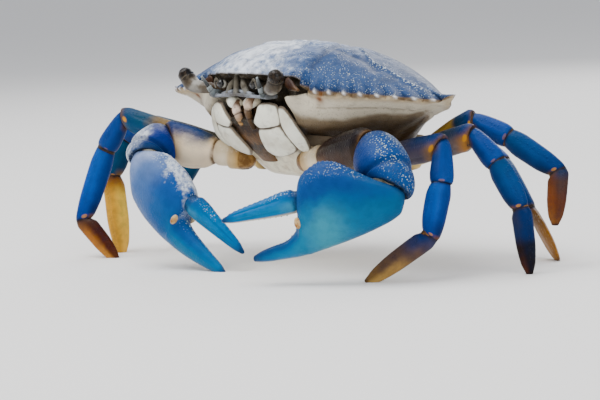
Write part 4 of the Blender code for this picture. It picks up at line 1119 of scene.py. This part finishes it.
def make_walking_legs():
    knee_look = limb_finish("leg_knee_shell", *KNEE_COLOURS, spread=0.42, ends=(30, 44, 80), hinge=0.25)
    tones = {"vivid": VIVID_SHIN_COLOURS, "deep": DEEP_SHIN_COLOURS, "teal": TEAL_SHIN_COLOURS}
    shin_looks = {tone: limb_finish("leg_shin_shell_" + tone, *colours, spread=0.42, ends=(34, 40, 66),
                                    hinge=0.6) for tone, colours in tones.items()}
    for side, side_name in SIDE_NAMES.items():
        for limb in (LEG_1, LEG_2, LEG_3):
            thigh, knee, shin, tip = (CHAINS[side, limb][name] for name in LINK_NAMES[1:])
            label = LIMB_NAMES[limb] + "_" + side_name
            thigh_look = limb_finish(label + "_thigh_shell", *THIGH_COLOURS[side, limb], mottle=0.2,
                                     ends=(130, 92, 56), hinge=1.0,
                                     spread=0.78 if side > 0 and limb != LEG_3 else 0.5)
            tip_look = limb_finish(label + "_tip_shell", *TIP_COLOURS[side, limb], mottle=0.45, relief=0.16,
                                   gloss=0.4, coat=0.1, spread=0.5, ends=(52, 42, 44))
            tone = "vivid" if limb == LEG_1 else "deep" if side > 0 else "teal"
            tip_form = BROAD_DACTYL_FORM if side < 0 and limb != LEG_1 else DACTYL_FORM
            dress_link(thigh, MERUS_FORM, thigh_look, "merus_shell", 1.2, MERUS_FURROWS, along=110)
            dress_link(knee, CARPUS_FORM, knee_look, "leg_shell", 1.15, SHIN_FURROWS)
            dress_link(shin, PROPODUS_FORM, shin_looks[tone], "leg_shell", 1.2, SHIN_FURROWS)
            dress_link(tip, tip_form, tip_look, "leg_tip_shell", 1.15, TIP_FURROWS, far_dome=0.2, along=110)


make_walking_legs()

# ---- Swimming legs ----------------------------------------------------------------------------------
# The last pair: short flat links that end in a thin oval paddle, golden brown and keen at its edge, which
# drives the crab through the water.
PADDLE_FORM = ((0.0, 1.6, -1.6, 2.6), (0.15, 3.8, -3.6, 3.0), (0.4, 5.8, -5.6, 2.9),
               (0.65, 6.0, -5.8, 2.6), (0.85, 4.5, -4.5, 2.0), (0.96, 2.6, -2.6, 1.4),
               (1.0, 1.4, -1.4, 1.0))
PADDLE_FURROWS = ((0, 9, 0.16), (180, 9, 0.16), (50, 6, 0.12), (130, 6, 0.12), (-50, 6, 0.12),
                  (230, 6, 0.12))
SWIM_THIGH_COLOURS = (((0.0, 196, 156, 84), (0.5, 150, 130, 108), (1.0, 50, 84, 140)),
                      ((0.0, 206, 168, 96), (1.0, 120, 100, 90)))
PADDLE_COLOURS = (((0.0, 60, 70, 100), (0.16, 140, 94, 40), (0.6, 190, 126, 34), (1.0, 196, 130, 40)),
                  ((0.0, 80, 84, 110), (0.16, 170, 118, 50), (0.6, 204, 144, 52), (1.0, 206, 148, 60)))


def make_swimming_legs():
    thigh_look = limb_finish("swimming_thigh_shell", *SWIM_THIGH_COLOURS, ends=(130, 92, 56))
    knee_look = limb_finish("swimming_knee_shell", *KNEE_COLOURS, spread=0.42)
    shin_look = limb_finish("swimming_shin_shell", *DEEP_SHIN_COLOURS, spread=0.42)
    paddle_look = limb_finish("swimming_paddle_shell", *PADDLE_COLOURS, grain=0.12, mottle=0.35,
                              grain_colour=(236, 214, 160), gloss=0.35, ends=(84, 66, 60))
    for side in SIDE_NAMES:
        thigh, knee, shin, paddle = CHAINS[side, SWIMMER].values()
        dress_link(thigh, MERUS_FORM, thigh_look, "merus_shell", 1.1, MERUS_FURROWS)
        dress_link(knee, CARPUS_FORM, knee_look, "leg_shell", 1.2, SHIN_FURROWS)
        dress_link(shin, PROPODUS_FORM, shin_look, "leg_shell", 1.2, SHIN_FURROWS)
        dress_link(paddle, PADDLE_FORM, paddle_look, "paddle_shell", 1.5, PADDLE_FURROWS, far_dome=0.4)


make_swimming_legs()

# ---- Joint skin -------------------------------------------------------------------------------------
# Between two links a sleeve of soft skin lets the joint bend, cream at the limb roots and the hands and
# dark elsewhere.  It shows as a crescent in the gap, tucked under the rims of both shells.
LEG_FORMS = {"base": BASE_FORM, "merus": MERUS_FORM, "carpus": CARPUS_FORM, "propodus": PROPODUS_FORM,
             "dactyl": DACTYL_FORM}
SLEEVE_FIT = 0.9                 # size of the sleeve beside the shells' ends
SLEEVE_SWELL = 0.03
SLEEVE_FOLDS = 0.03
SLEEVE_CAP = 0.15                # share of a sleeve's grid that closes each of its ends
SLEEVE_LEAVE, SLEEVE_ENTER = 0.95, 0.05   # where along the two links its ends are tucked in
SLEEVE_AROUND, SLEEVE_ALONG = 40, 24


def link_form(side, limb, name):
    """The form that a sleeve is fitted to; the left arm's also serves for the right arm's sleeves."""
    if limb == CLAW:
        return {"base": BASE_FORM, "merus": LEFT_ARM_FORM, "carpus": WRIST_FORM,
                "propodus": HAND_FORMS[side]}[name]
    if limb == SWIMMER and name == "dactyl":
        return PADDLE_FORM
    return LEG_FORMS[name]


def skin_sleeve(name, before, before_form, after, after_form):
    """Soft skin from inside the end of one link to inside the start of the next."""

    def ring(link, form, t, angle):
        upper, lower, thickness = through(form, np.full(angle.shape, t)).T
        across = thickness / 2 * np.cos(angle) * SLEEVE_FIT
        up = (upper + lower) / 2 + (upper - lower) / 2 * np.sin(angle) * SLEEVE_FIT
        return link.places(np.full(angle.shape, t), across, up)

    def shape(u, v):
        angle = 2 * math.pi * u
        first = ring(before, before_form, SLEEVE_LEAVE, angle)
        second = ring(after, after_form, SLEEVE_ENTER, angle)
        w = np.clip((v - SLEEVE_CAP) / (1 - 2 * SLEEVE_CAP), 0.0, 1.0)[:, None]
        close = np.minimum(1.0, np.minimum(v, 1 - v) / SLEEVE_CAP)[:, None]
        middle = mix(first.mean(axis=0), second.mean(axis=0), w)
        swell = 1.0 + SLEEVE_SWELL * np.sin(math.pi * w) + SLEEVE_FOLDS * np.sin(6 * math.pi * w)
        return middle + (mix(first, second, w) - middle) * swell * close, {}

    return wrapped_grid(name, SLEEVE_AROUND, SLEEVE_ALONG, shape)


def make_joint_skin():
    pale_skin = skin_finish("pale_joint_skin", (196, 172, 128), (224, 210, 178), (232, 222, 200))
    dark_skin = skin_finish("dark_joint_skin", (34, 36, 52), (70, 56, 48), (120, 92, 64))
    for (side, limb), chain in CHAINS.items():
        names = list(chain)
        for before, after in zip(names, names[1:]):
            if limb == CLAW and after == "dactyl":
                continue
            sleeve = skin_sleeve("_".join(("skin", LIMB_NAMES[limb], SIDE_NAMES[side], after)),
                                 chain[before], link_form(side, limb, before),
                                 chain[after], link_form(side, limb, after))
            pale = after == "merus" or limb == CLAW and after == "propodus"
            dressed(sleeve, pale_skin if pale else dark_skin, "limb_base_shell")


make_joint_skin()

# ---- Breastplate ------------------------------------------------------------------------------------
# The fused cream plates between the legs, smooth and hard as china, with a seam between each pair of
# legs and a trough down the middle for the tail flap.
# Rows of (share down, half width, front, rear, height).
CHEST_FORM = ((0.0, 30.8, -23.6, 24.6, -12.4), (0.3, 28.2, -21.7, 23.5, -17.0),
              (0.6, 22.7, -17.7, 21.1, -21.2), (0.78, 17.7, -13.8, 17.7, -24.4),
              (0.84, 16.0, -12.2, 16.2, -24.9))
CHEST_SEAMS_Y = (-9.0, -3.2, 3.2, 9.4, 14.6)
CHEST_SEAM_SLANT = 0.12
CHEST_SEAM_DEPTH = 0.7
CHEST_SQUARENESS = 0.8
CHEST_SEAM_WIDTH = 0.55
CHEST_LID = 0.04                 # share of the grid that closes the breastplate's hidden top
CHEST_AROUND, CHEST_ALONG = 220, 130
TROUGH_DEPTH, TROUGH_WIDTH = 1.2, 4.0


def seams_at(value, places, width):
    """Narrow seams across a piece: 1 on each of the places, fading over the width."""
    seam = np.zeros(value.shape)
    for place in places:
        seam = np.maximum(seam, bell(value - place, width))
    return seam


def plate_finish(name, pale, middle, stain, stain_share=0.5, gloss=0.3):
    """Smooth cream shell, clouded and stained brown towards its seams, and on the breastplate
    also browned by painted shadow at its sides.
    """
    finish = Finish(name)
    colour = finish.ramp(finish.noise(7.0), ((0.3, *middle), (0.62, *pale)))
    spots = finish.remap(finish.noise(3.0, 5.0, 0.65), 0.5, 0.72, 0.0, stain_share)
    colour = finish.blend(colour, paint(*stain), spots)
    seam = finish.plus(finish.mask("seam"), finish.wander(0.5, 1.4))
    colour = finish.blend(colour, paint(104, 70, 36), finish.remap(seam, 0.3, 0.9, 0.0, 0.85))
    normal = finish.bump(finish.noise(1.2, 4.0), 0.12)
    return finish.finished(colour, finish.gloss(2.4, gloss, gloss + 0.18), normal, coat=0.2)


def make_breastplate():
    closed_from = CHEST_FORM[-1][0]

    def shape(u, v):
        half_x, front, rear, z = through(CHEST_FORM, v).T
        close = np.clip((v - closed_from) / (1.0 - closed_from), 0.0, 1.0)
        lid = np.clip(1.0 - v / CHEST_LID, 0.0, 1.0)
        size = (1.0 - close) * (1.0 - lid)
        angle = 2 * math.pi * u
        x = half_x * squared_off(np.cos(angle), CHEST_SQUARENESS) * size
        y = (front + rear) / 2 + (rear - front) / 2 * squared_off(np.sin(angle), CHEST_SQUARENESS) * size
        seam = seams_at(y - CHEST_SEAM_SLANT * np.abs(x), CHEST_SEAMS_Y, CHEST_SEAM_WIDTH)
        seam = seam * smooth_step(np.abs(x), 3.0, 6.0) * smooth_step(v, 0.1, 0.3)
        trough = bell(x, TROUGH_WIDTH) * smooth_step(v, 0.7, 0.85) * smooth_step(y, -14.0, -9.0)
        z = (z - 0.3 * close + CHEST_SEAM_DEPTH * seam * smooth_step(v, 0.3, 0.7)
             + TROUGH_DEPTH * trough)
        x = x * (1.0 - 0.02 * seam)
        # Painted shadow: the plate's outer upper part, under the flanks and among the leg roots, browns as
        # its seams do.
        shadow = smooth_step(np.hypot(x / 1.1, y), 19.0, 26.0) * smooth_step(z, -23.0, -18.0)
        return from_trunk(np.stack((x, y, z), axis=1)), {"seam": np.maximum(seam, shadow)}

    chest = wrapped_grid("breastplate_shell", CHEST_AROUND, CHEST_ALONG, shape)
    finish = plate_finish("breastplate_shell", (226, 216, 192), (204, 188, 156), (150, 120, 80))
    dressed(chest, finish, "underside_shell", "chest")


make_breastplate()

# ---- Tail flap --------------------------------------------------------------------------------------
# A male's narrow abdomen, folded forward under the breastplate from the shell's rear edge: a row of thin
# hinged plates that taper to a long spike.
# Rows of (share along, along the trunk, up, half width), from the root to the spike's point.
TAIL_FLAP_FORM = ((0.0, 27.6, -9.0, 13.0), (0.18, 26.6, -16.0, 11.0), (0.36, 23.4, -22.6, 9.0),
                  (0.52, 16.5, -26.8, 6.5), (0.74, 7.0, -26.8, 3.4), (1.0, -6.0, -26.1, 1.8))
TAIL_FLAP_THICKNESS = 2.0
TAIL_SEAMS = (0.13, 0.24, 0.36, 0.47, 0.8)
TAIL_CAP = 0.04                  # share of the flap's grid that closes each of its ends
TAIL_SLOPE_STEP = 0.004
TAIL_SEAM_WIDTH = 0.009
TAIL_AROUND, TAIL_ALONG = 60, 200


def make_tail_flap():
    def shape(u, v):
        t = np.clip((v - TAIL_CAP) / (1 - 2 * TAIL_CAP), 0.0, 1.0)
        ends = np.clip(np.minimum(v, 1 - v) / TAIL_CAP, 0.0, 1.0) ** 0.5
        y, z, half = through(TAIL_FLAP_FORM, t).T
        ahead = (through(TAIL_FLAP_FORM, np.minimum(t + TAIL_SLOPE_STEP, 1.0))
                 - through(TAIL_FLAP_FORM, t - TAIL_SLOPE_STEP))
        slope = unit(ahead[:, :2])
        seam = seams_at(t, TAIL_SEAMS, TAIL_SEAM_WIDTH)
        angle = 2 * math.pi * u
        thick = TAIL_FLAP_THICKNESS / 2 * squared_off(np.sin(angle), 0.6) * (1 - 0.35 * seam) * ends
        x = half * squared_off(np.cos(angle), 0.5) * (1 - 0.03 * seam) * ends
        places = np.stack((x, y - slope[:, 1] * thick, z + slope[:, 0] * thick), axis=1)
        return from_trunk(places), {"seam": seam}

    flap = wrapped_grid("tail_flap_shell", TAIL_AROUND, TAIL_ALONG, shape)
    finish = plate_finish("tail_flap_shell", (228, 218, 196), (210, 194, 162), (156, 126, 84))
    dressed(flap, finish, "underside_shell", "tail_flap")


make_tail_flap()

# ---- Mouth plates -----------------------------------------------------------------------------------
# Two jointed doors close the mouth.  Each has a long lower plate, a squarish upper plate and a slim outer
# branch, all of smooth ivory shell with dark seams between, hinged at the foot of the mouth.
# Rows of (share down, along the trunk, up, inner edge, outer edge of a door).
MOUTH_FORM = ((0.0, -32.5, -4.0, 6.6, 17.6), (0.06, -32.5, -5.2, 6.4, 18.2),
              (0.28, -31.3, -9.4, 5.4, 19.2), (0.52, -28.9, -13.6, 4.6, 19.4),
              (0.8, -24.7, -17.8, 3.0, 17.2), (1.0, -21.7, -20.4, 2.2, 14.0))
MOUTH_SWEEP = 3.0                # how far the doors' outer edges are swept back
PLATE_FACE = 0.42                # share of a plate's grid on each face; what is between rounds its edge
PLATE_AROUND, PLATE_ALONG = 72, 30
MOUTH_PLATES = {  # corners as (share across from the middle line, share down), thickness, crown
    "upper": (((0.3, 0.07), (0.6, 0.04), (0.84, 0.07), (0.88, 0.2), (0.83, 0.36), (0.52, 0.42),
               (0.22, 0.44), (0.06, 0.35), (0.18, 0.2)), 1.5, 0.5),
    "lower": (((0.18, 0.45), (0.5, 0.43), (0.8, 0.38), (0.88, 0.54), (1.0, 0.78), (0.78, 0.92),
               (0.4, 0.98), (0.12, 0.86), (0.1, 0.6)), 1.5, 0.5),
    "outer": (((0.88, 0.1), (1.02, 0.1), (1.16, 0.3), (1.26, 0.6), (1.26, 0.86), (1.05, 0.8),
               (0.9, 0.58), (0.84, 0.34)), 1.4, 0.5),
}


def closed_curve(points, u):
    """Soft closed curve through a few corners, at the share u of the way round."""
    points = np.array(points, float)
    count = len(points)
    slopes = (np.roll(points, -1, axis=0) - np.roll(points, 1, axis=0)) / 2 * 0.8
    place = np.mod(u, 1.0) * count
    k = np.floor(place).astype(int) % count
    n = (k + 1) % count
    return soft_step(points[k], points[n], slopes[k], slopes[n], (place - np.floor(place))[:, None])


def curved_plate(name, corners, surface, thickness, crown):
    """A thick cushion-edged plate laid on a surface that gives a place and an outward direction."""
    middle = np.mean(np.array(corners, float), axis=0)

    def shape(u, v):
        reach = np.minimum(1.0, np.minimum(v, 1 - v) / PLATE_FACE) ** 0.8
        edge = closed_curve(corners, u)
        spots = middle + (edge - middle) * reach[:, None]
        place, outward = surface(spots[:, 0], spots[:, 1])
        rounding = np.sqrt(np.maximum(0.0, 1.0 - reach ** 8))
        front = thickness / 2 * rounding + crown * (1.0 - reach ** 2)
        height = np.where(v < 0.5, front, -thickness / 2 * rounding)
        height = np.where((v > PLATE_FACE) & (v < 1 - PLATE_FACE), 0.0, height)
        return from_trunk(place + outward * height[:, None]), {"seam": smooth_step(reach, 0.82, 1.0)}

    return wrapped_grid(name, PLATE_AROUND, PLATE_ALONG, shape)


def mouth_surface(side):
    """The curved front of one door, by share across from the middle line and share down."""
    def surface(across, down):
        y, z, inner, outer = through(MOUTH_FORM, down).T
        x = side * mix(inner, outer, across)
        place = np.stack((x, y + MOUTH_SWEEP * across ** 2, z), axis=1)
        outward = np.stack((side * 0.25 * across, np.full(x.shape, -0.76), np.full(x.shape, -0.6)), axis=1)
        return place, unit(outward)
    return surface


def make_mouth_plates():
    ivory = plate_finish("mouth_plate_shell", (226, 222, 206), (206, 200, 180), (166, 150, 120),
                         stain_share=0.35, gloss=0.28)
    for side, label in SIDE_NAMES.items():
        for part, (corners, thickness, crown) in MOUTH_PLATES.items():
            name = "_".join(("mouth_plate", part, label))
            stands_for = ("mouthparts_" + label,) if part == "lower" else ()
            plate = curved_plate(name, corners, mouth_surface(side), thickness, crown)
            dressed(plate, ivory, "mouthpart_shell", *stands_for)


make_mouth_plates()

# ---- Mouth lining, jaws and palps -------------------------------------------------------------------
# Behind the doors the mouth is lined with a dark brown sheet, painted shade of its inside.  The two white
# jaws show in its upper part, and from each door's upper inner corner a folded palp of tan and pinkish
# shell hangs down.
TUBE_CAP = 0.1                   # share of a tube's grid that closes each of its ends
TUBE_SLOPE_STEP = 0.03
TUBE_RING_WIDTH = 0.025
UPWARDS, REARWARDS = (0.0, 0.0, 1.0), (0.0, 1.0, 0.0)
LINING_PATH = ((0.0, -31.2, -3.6, 9.0, 0.5), (0.0, -30.4, -9.0, 8.0, 0.5), (0.0, -27.8, -13.5, 7.0, 0.5),
               (0.0, -23.6, -18.0, 5.5, 0.5), (0.0, -19.6, -21.4, 4.0, 0.5))
JAW_PATH = ((1.2, -31.4, -5.2, 0.9, 1.1), (4.4, -31.9, -5.0, 1.5, 1.9), (8.0, -31.3, -4.4, 0.8, 1.1))
TAN_PALP_PATH = ((6.6, -32.6, -3.4, 1.0, 0.9), (5.2, -32.9, -5.6, 1.7, 1.2), (4.4, -32.3, -7.6, 1.4, 1.1),
                 (4.1, -31.4, -9.4, 1.2, 1.0), (4.6, -29.8, -12.4, 0.9, 0.8))
PINK_PALP_PATH = ((-1.6, -32.0, -4.9, 0.9, 0.9), (-2.0, -32.2, -7.0, 1.7, 1.2),
                  (-1.3, -31.8, -8.8, 1.5, 1.1), (-1.1, -31.0, -10.4, 1.3, 1.0),
                  (-2.0, -30.0, -11.6, 0.7, 0.6))


def tube(name, path, reference=UPWARDS, side=1, dome=0.8, rings=(), around=32, along=72):
    """A tube through rows of (across, along, up, half width, half height); rings are its seams."""
    rows = np.array(path, float) * (side, 1.0, 1.0, 1.0, 1.0)
    steps = np.linalg.norm(np.diff(rows[:, :3], axis=0), axis=1)
    rows = np.column_stack((np.concatenate(((0.0,), np.cumsum(steps))) / steps.sum(), rows))

    def shape(u, v):
        t = np.clip((v - TUBE_CAP) / (1 - 2 * TUBE_CAP), 0.0, 1.0)
        cap = np.clip(np.maximum(1 - v / TUBE_CAP, 1 - (1 - v) / TUBE_CAP), 0.0, 1.0) * math.pi / 2
        spots = through(rows, t)
        axis = unit(through(rows, t + TUBE_SLOPE_STEP)[:, :3] - through(rows, t - TUBE_SLOPE_STEP)[:, :3])
        aside = unit(np.cross(axis, reference))
        over = np.cross(aside, axis)
        seam = seams_at(t, rings, TUBE_RING_WIDTH)
        angle = 2 * math.pi * u
        size = np.cos(cap) * (1.0 - 0.14 * seam)
        beyond = np.sin(cap) * dome * spots[:, 4] * np.where(v < 0.5, -1.0, 1.0)
        places = (spots[:, :3] + axis * beyond[:, None]
                  + aside * (spots[:, 3] * np.cos(angle) * size)[:, None]
                  + over * (spots[:, 4] * np.sin(angle) * size)[:, None])
        return from_trunk(places), {"seam": seam, "along": t}

    return wrapped_grid(name, around, along, shape)


def banded_finish(name, bands, stain, gloss=0.35, coat=0.15):
    """Shell whose colour runs along a tube, clouded by a stain, with brown seams."""
    finish = Finish(name)
    colour = finish.ramp(finish.plus(finish.mask("along"), finish.wander(0.3, 2.0)), bands)
    cloud = finish.remap(finish.noise(1.5, 4.0), 0.48, 0.7, 0.0, 0.55)
    colour = finish.blend(colour, paint(*stain), cloud)
    colour = finish.blend(colour, paint(60, 42, 26), finish.times(finish.mask("seam"), 0.8))
    normal = finish.bump(finish.noise(0.5, 3.0), 0.08)
    return finish.finished(colour, finish.gloss(0.8, gloss, gloss + 0.15), normal, coat)


def make_mouth():
    # The lining's dark brown is painted shade of the mouth's inside.
    shaded_lining = banded_finish("mouth_lining", ((0.0, 36, 26, 18), (0.45, 60, 40, 22), (0.6, 128, 86, 40),
                                            (0.7, 52, 36, 22), (1.0, 134, 92, 46)), (120, 84, 44))
    jaw = banded_finish("jaw_shell", ((0.0, 196, 186, 160), (0.5, 232, 226, 208), (1.0, 180, 168, 142)),
                        (196, 184, 158))
    tan = banded_finish("tan_palp_shell", ((0.0, 120, 88, 60), (0.3, 204, 180, 156),
                                           (0.5, 126, 96, 66), (1.0, 84, 62, 40)), (96, 68, 44))
    pink = banded_finish("pink_palp_shell", ((0.0, 120, 88, 62), (0.35, 214, 192, 174),
                                             (0.65, 190, 156, 124), (0.85, 206, 156, 92),
                                             (1.0, 84, 60, 36)), (150, 112, 82))
    dressed(tube("mouth_lining", LINING_PATH, REARWARDS), shaded_lining, "mouthpart_shell")
    for side, label in SIDE_NAMES.items():
        dressed(tube("jaw_" + label, JAW_PATH, side=side), jaw, "mouthpart_shell")
    dressed(tube("palp_left", TAN_PALP_PATH, REARWARDS, rings=(0.42, 0.7)), tan, "mouthpart_shell")
    dressed(tube("palp_right", PINK_PALP_PATH, REARWARDS, rings=(0.5, 0.78)), pink, "mouthpart_shell")


make_mouth()

# ---- Face between the eyes --------------------------------------------------------------------------
# Under the front lip: a pale bar across the top of the mouth, a ridge down the middle, and on each side a
# folded small feeler with a glassy knob, and a corner that closes the eye socket, brown as painted shade.
BAR_PATH = ((-17.2, -31.6, -2.9, 0.7, 0.7), (-14.0, -32.5, -2.9, 0.8, 1.1), (-10.4, -33.2, -3.3, 0.7, 0.5),
            (-5.0, -33.6, -3.0, 0.8, 0.7), (0.0, -34.1, -2.9, 0.8, 0.5), (5.0, -33.6, -3.0, 0.8, 0.7),
            (10.4, -33.2, -3.3, 0.7, 0.5), (14.0, -32.5, -2.9, 0.8, 1.1), (17.2, -31.6, -2.9, 0.7, 0.7))
FOLD_PATH = ((1.2, -33.9, -1.7, 0.5, 0.4), (4.4, -33.8, -2.2, 0.7, 0.6), (8.4, -33.4, -2.6, 0.5, 0.4))
RIDGE_PATH = ((0.0, -34.6, 2.6, 0.5, 0.8), (0.0, -34.5, 0.4, 0.6, 0.8), (0.0, -34.2, -2.6, 0.9, 0.8))
FEELER_FOOT_PATH = ((2.0, -33.4, 1.6, 0.8, 0.8), (3.4, -34.0, -0.2, 1.0, 0.9), (5.0, -33.7, -2.2, 0.8, 0.8))
FEELER_KNOB_PATH = ((8.6, -32.8, 0.2, 1.35, 1.25), (8.7, -34.3, 0.2, 1.35, 1.25))
FEELER_WHIP_PATH = ((8.7, -34.9, 0.5, 0.45, 0.4), (10.0, -35.2, 1.6, 0.4, 0.35),
                    (10.9, -34.9, 0.4, 0.3, 0.3), (11.0, -34.4, -0.9, 0.25, 0.25))
SOCKET_CORNER_PATH = ((20.4, -30.2, 1.5, 0.6, 1.5), (22.4, -30.4, 0.6, 0.7, 1.5),
                      (24.4, -30.5, -0.2, 0.7, 1.0), (26.6, -30.6, -0.8, 0.6, 0.4))


def make_face():
    bone = banded_finish("face_bar_shell", ((0.0, 96, 98, 98), (0.25, 160, 166, 176),
                                            (0.5, 110, 106, 100), (0.75, 160, 166, 176),
                                            (1.0, 96, 98, 98)), (86, 78, 66))
    grey = banded_finish("face_ridge_shell", ((0.0, 84, 78, 66), (0.5, 128, 120, 104),
                                              (1.0, 150, 146, 136)), (66, 58, 46))
    knob = banded_finish("feeler_knob_shell", ((0.0, 120, 110, 92), (0.6, 196, 192, 180),
                                               (0.86, 30, 30, 32), (1.0, 16, 18, 22)), (120, 112, 96),
                         gloss=0.12, coat=0.9)
    # The socket corner's brown is painted shade of the eye socket.
    brown = banded_finish("socket_corner_shell", ((0.0, 84, 54, 34), (0.5, 70, 42, 28),
                                                  (1.0, 126, 92, 60)), (40, 26, 18))
    dressed(tube("face_bar", BAR_PATH, along=110), bone, "mouthpart_shell")
    dressed(tube("face_ridge", RIDGE_PATH, REARWARDS), grey, "mouthpart_shell")
    for side, label in SIDE_NAMES.items():
        dressed(tube("face_fold_" + label, FOLD_PATH, side=side), bone, "mouthpart_shell")
        dressed(tube("feeler_foot_" + label, FEELER_FOOT_PATH, REARWARDS, side), grey, "feeler")
        dressed(tube("feeler_knob_" + label, FEELER_KNOB_PATH, side=side), knob, "feeler")
        dressed(tube("feeler_whip_" + label, FEELER_WHIP_PATH, REARWARDS, side, rings=(0.3, 0.6)), grey,
                "feeler")
        dressed(tube("socket_corner_" + label, SOCKET_CORNER_PATH, side=side), brown, "mouthpart_shell")


make_face()

# ---- Feelers ----------------------------------------------------------------------------------------
# The two longer feelers beside the eyes, of thin greyish shell: three short stout joints at the root, then
# a thin ringed whip that leans up in front of the eyestalk.
FEELER_ROOT_PATH = ((12.2, -31.8, -2.6, 1.3, 1.2), (12.9, -33.2, -2.5, 1.2, 1.1),
                    (13.4, -34.3, -1.9, 0.95, 0.9), (13.7, -35.0, -1.0, 0.8, 0.8))
FEELER_LASH_PATH = ((13.6, -34.9, -1.2, 0.72, 0.72), (14.1, -35.9, 0.1, 0.6, 0.6),
                    (14.8, -37.3, 1.9, 0.38, 0.38))
LASH_RINGS = tuple(k / 12 for k in range(1, 12))


def make_feelers():
    pale = banded_finish("feeler_shell", ((0.0, 70, 72, 70), (0.4, 120, 130, 134),
                                          (1.0, 160, 168, 168)), (56, 58, 60))
    for side, label in SIDE_NAMES.items():
        dressed(tube("feeler_root_" + label, FEELER_ROOT_PATH, REARWARDS, side, rings=(0.35, 0.7)), pale,
                "feeler")
        dressed(tube("feeler_lash_" + label, FEELER_LASH_PATH, REARWARDS, side, rings=LASH_RINGS,
                     along=120), pale, "feeler", "antenna_" + label)


make_feelers()

# ---- Eyestalks and eyes -----------------------------------------------------------------------------
# Each eye sits on a bent stalk of pale shell that leaves the inner end of its socket and swells into a
# cup.  The cornea is a dark, finely faceted cap with a lighter rim where it meets the cup.
EYE_RADIUS = 2.4
EYE_CENTRE = (24.0, -37.0, 2.3)
EYE_LOOK = (0.58, -0.4, 0.71)
EYE_RIM = 0.6                    # where the cornea meets the cup, as a share of the way down the eye
EYE_RIM_WIDTH = 0.035
EYE_AROUND, EYE_ALONG = 64, 48
STALK_PATH = ((11.6, -29.2, -0.8, 1.5, 1.6), (13.6, -31.8, -0.8, 1.6, 1.8), (16.8, -33.6, -1.1, 1.7, 1.9),
              (20.0, -35.1, -0.9, 2.0, 2.2), (22.2, -36.0, 0.1, 2.4, 2.45), (23.3, -36.5, 1.4, 2.45, 2.45))


def stalk_finish():
    finish = Finish("eyestalk_shell")
    colour = finish.ramp(finish.plus(finish.mask("along"), finish.wander(0.35, 2.2)),
                         ((0.0, 76, 54, 34), (0.3, 96, 76, 52), (0.52, 124, 112, 96),
                          (0.72, 164, 160, 150), (0.86, 104, 90, 72), (1.0, 46, 38, 30)))
    shade = finish.remap(finish.noise(1.4, 4.0), 0.5, 0.7, 0.0, 0.6)
    colour = finish.blend(colour, paint(104, 92, 74), shade)
    colour = finish.blend(colour, paint(70, 56, 40), finish.times(finish.mask("seam"), 0.7))
    normal = finish.bump(finish.noise(0.6, 3.0), 0.1)
    return finish.finished(colour, finish.gloss(0.8, 0.3, 0.45), normal, coat=0.3)


def cornea_finish():
    finish = Finish("cornea")
    streaks = finish.remap(finish.noise(0.9, 5.0, 0.7), 0.42, 0.66)
    colour = finish.blend(paint(24, 18, 14), paint(92, 74, 56), finish.times(streaks, 0.6))
    colour = finish.blend(colour, paint(136, 122, 100), finish.times(finish.mask("rim"), 0.8))
    colour = finish.blend(colour, paint(10, 10, 14), finish.mask("cap"))
    facets = finish.bump(finish.grains(0.2), 0.03)
    return finish.finished(colour, finish.gloss(0.8, 0.16, 0.26), facets, coat=0.35)


def on_side(side, values):
    """A place or direction of the left half, mirrored for the right."""
    return np.array(values) * (side, 1.0, 1.0)


def make_eyes():
    stalk_shell, cornea = stalk_finish(), cornea_finish()
    for side, label in SIDE_NAMES.items():
        centre, look = on_side(side, EYE_CENTRE), unit(on_side(side, EYE_LOOK))
        aside = unit(np.cross(look, UPWARDS))
        over = np.cross(aside, look)

        def shape(u, v):
            turn, tilt = 2 * math.pi * u, math.pi * v
            rim = bell(v - EYE_RIM, EYE_RIM_WIDTH)
            radius = EYE_RADIUS * (1.0 + 0.03 * rim - 0.02 * np.cos(8 * tilt) * (v < EYE_RIM))
            local = (np.outer(np.cos(turn) * np.sin(tilt), aside)
                     + np.outer(np.sin(turn) * np.sin(tilt), over) + np.outer(np.cos(tilt), look))
            cap = smooth_step(np.sin(turn) * np.sin(tilt) - 0.5 * np.cos(tilt), 0.35, 0.6)
            return from_trunk(centre + local * radius[:, None]), {"rim": rim, "cap": cap}

        ball = wrapped_grid("cornea_" + label, EYE_AROUND, EYE_ALONG, shape)
        dressed(ball, cornea, "cornea", "eye_" + label)
        dressed(tube("eyestalk_" + label, STALK_PATH, REARWARDS, side, dome=0.3, rings=(0.32,), around=44,
                     along=110), stalk_shell, "eyestalk_shell", "eyestalk_" + label)


make_eyes()
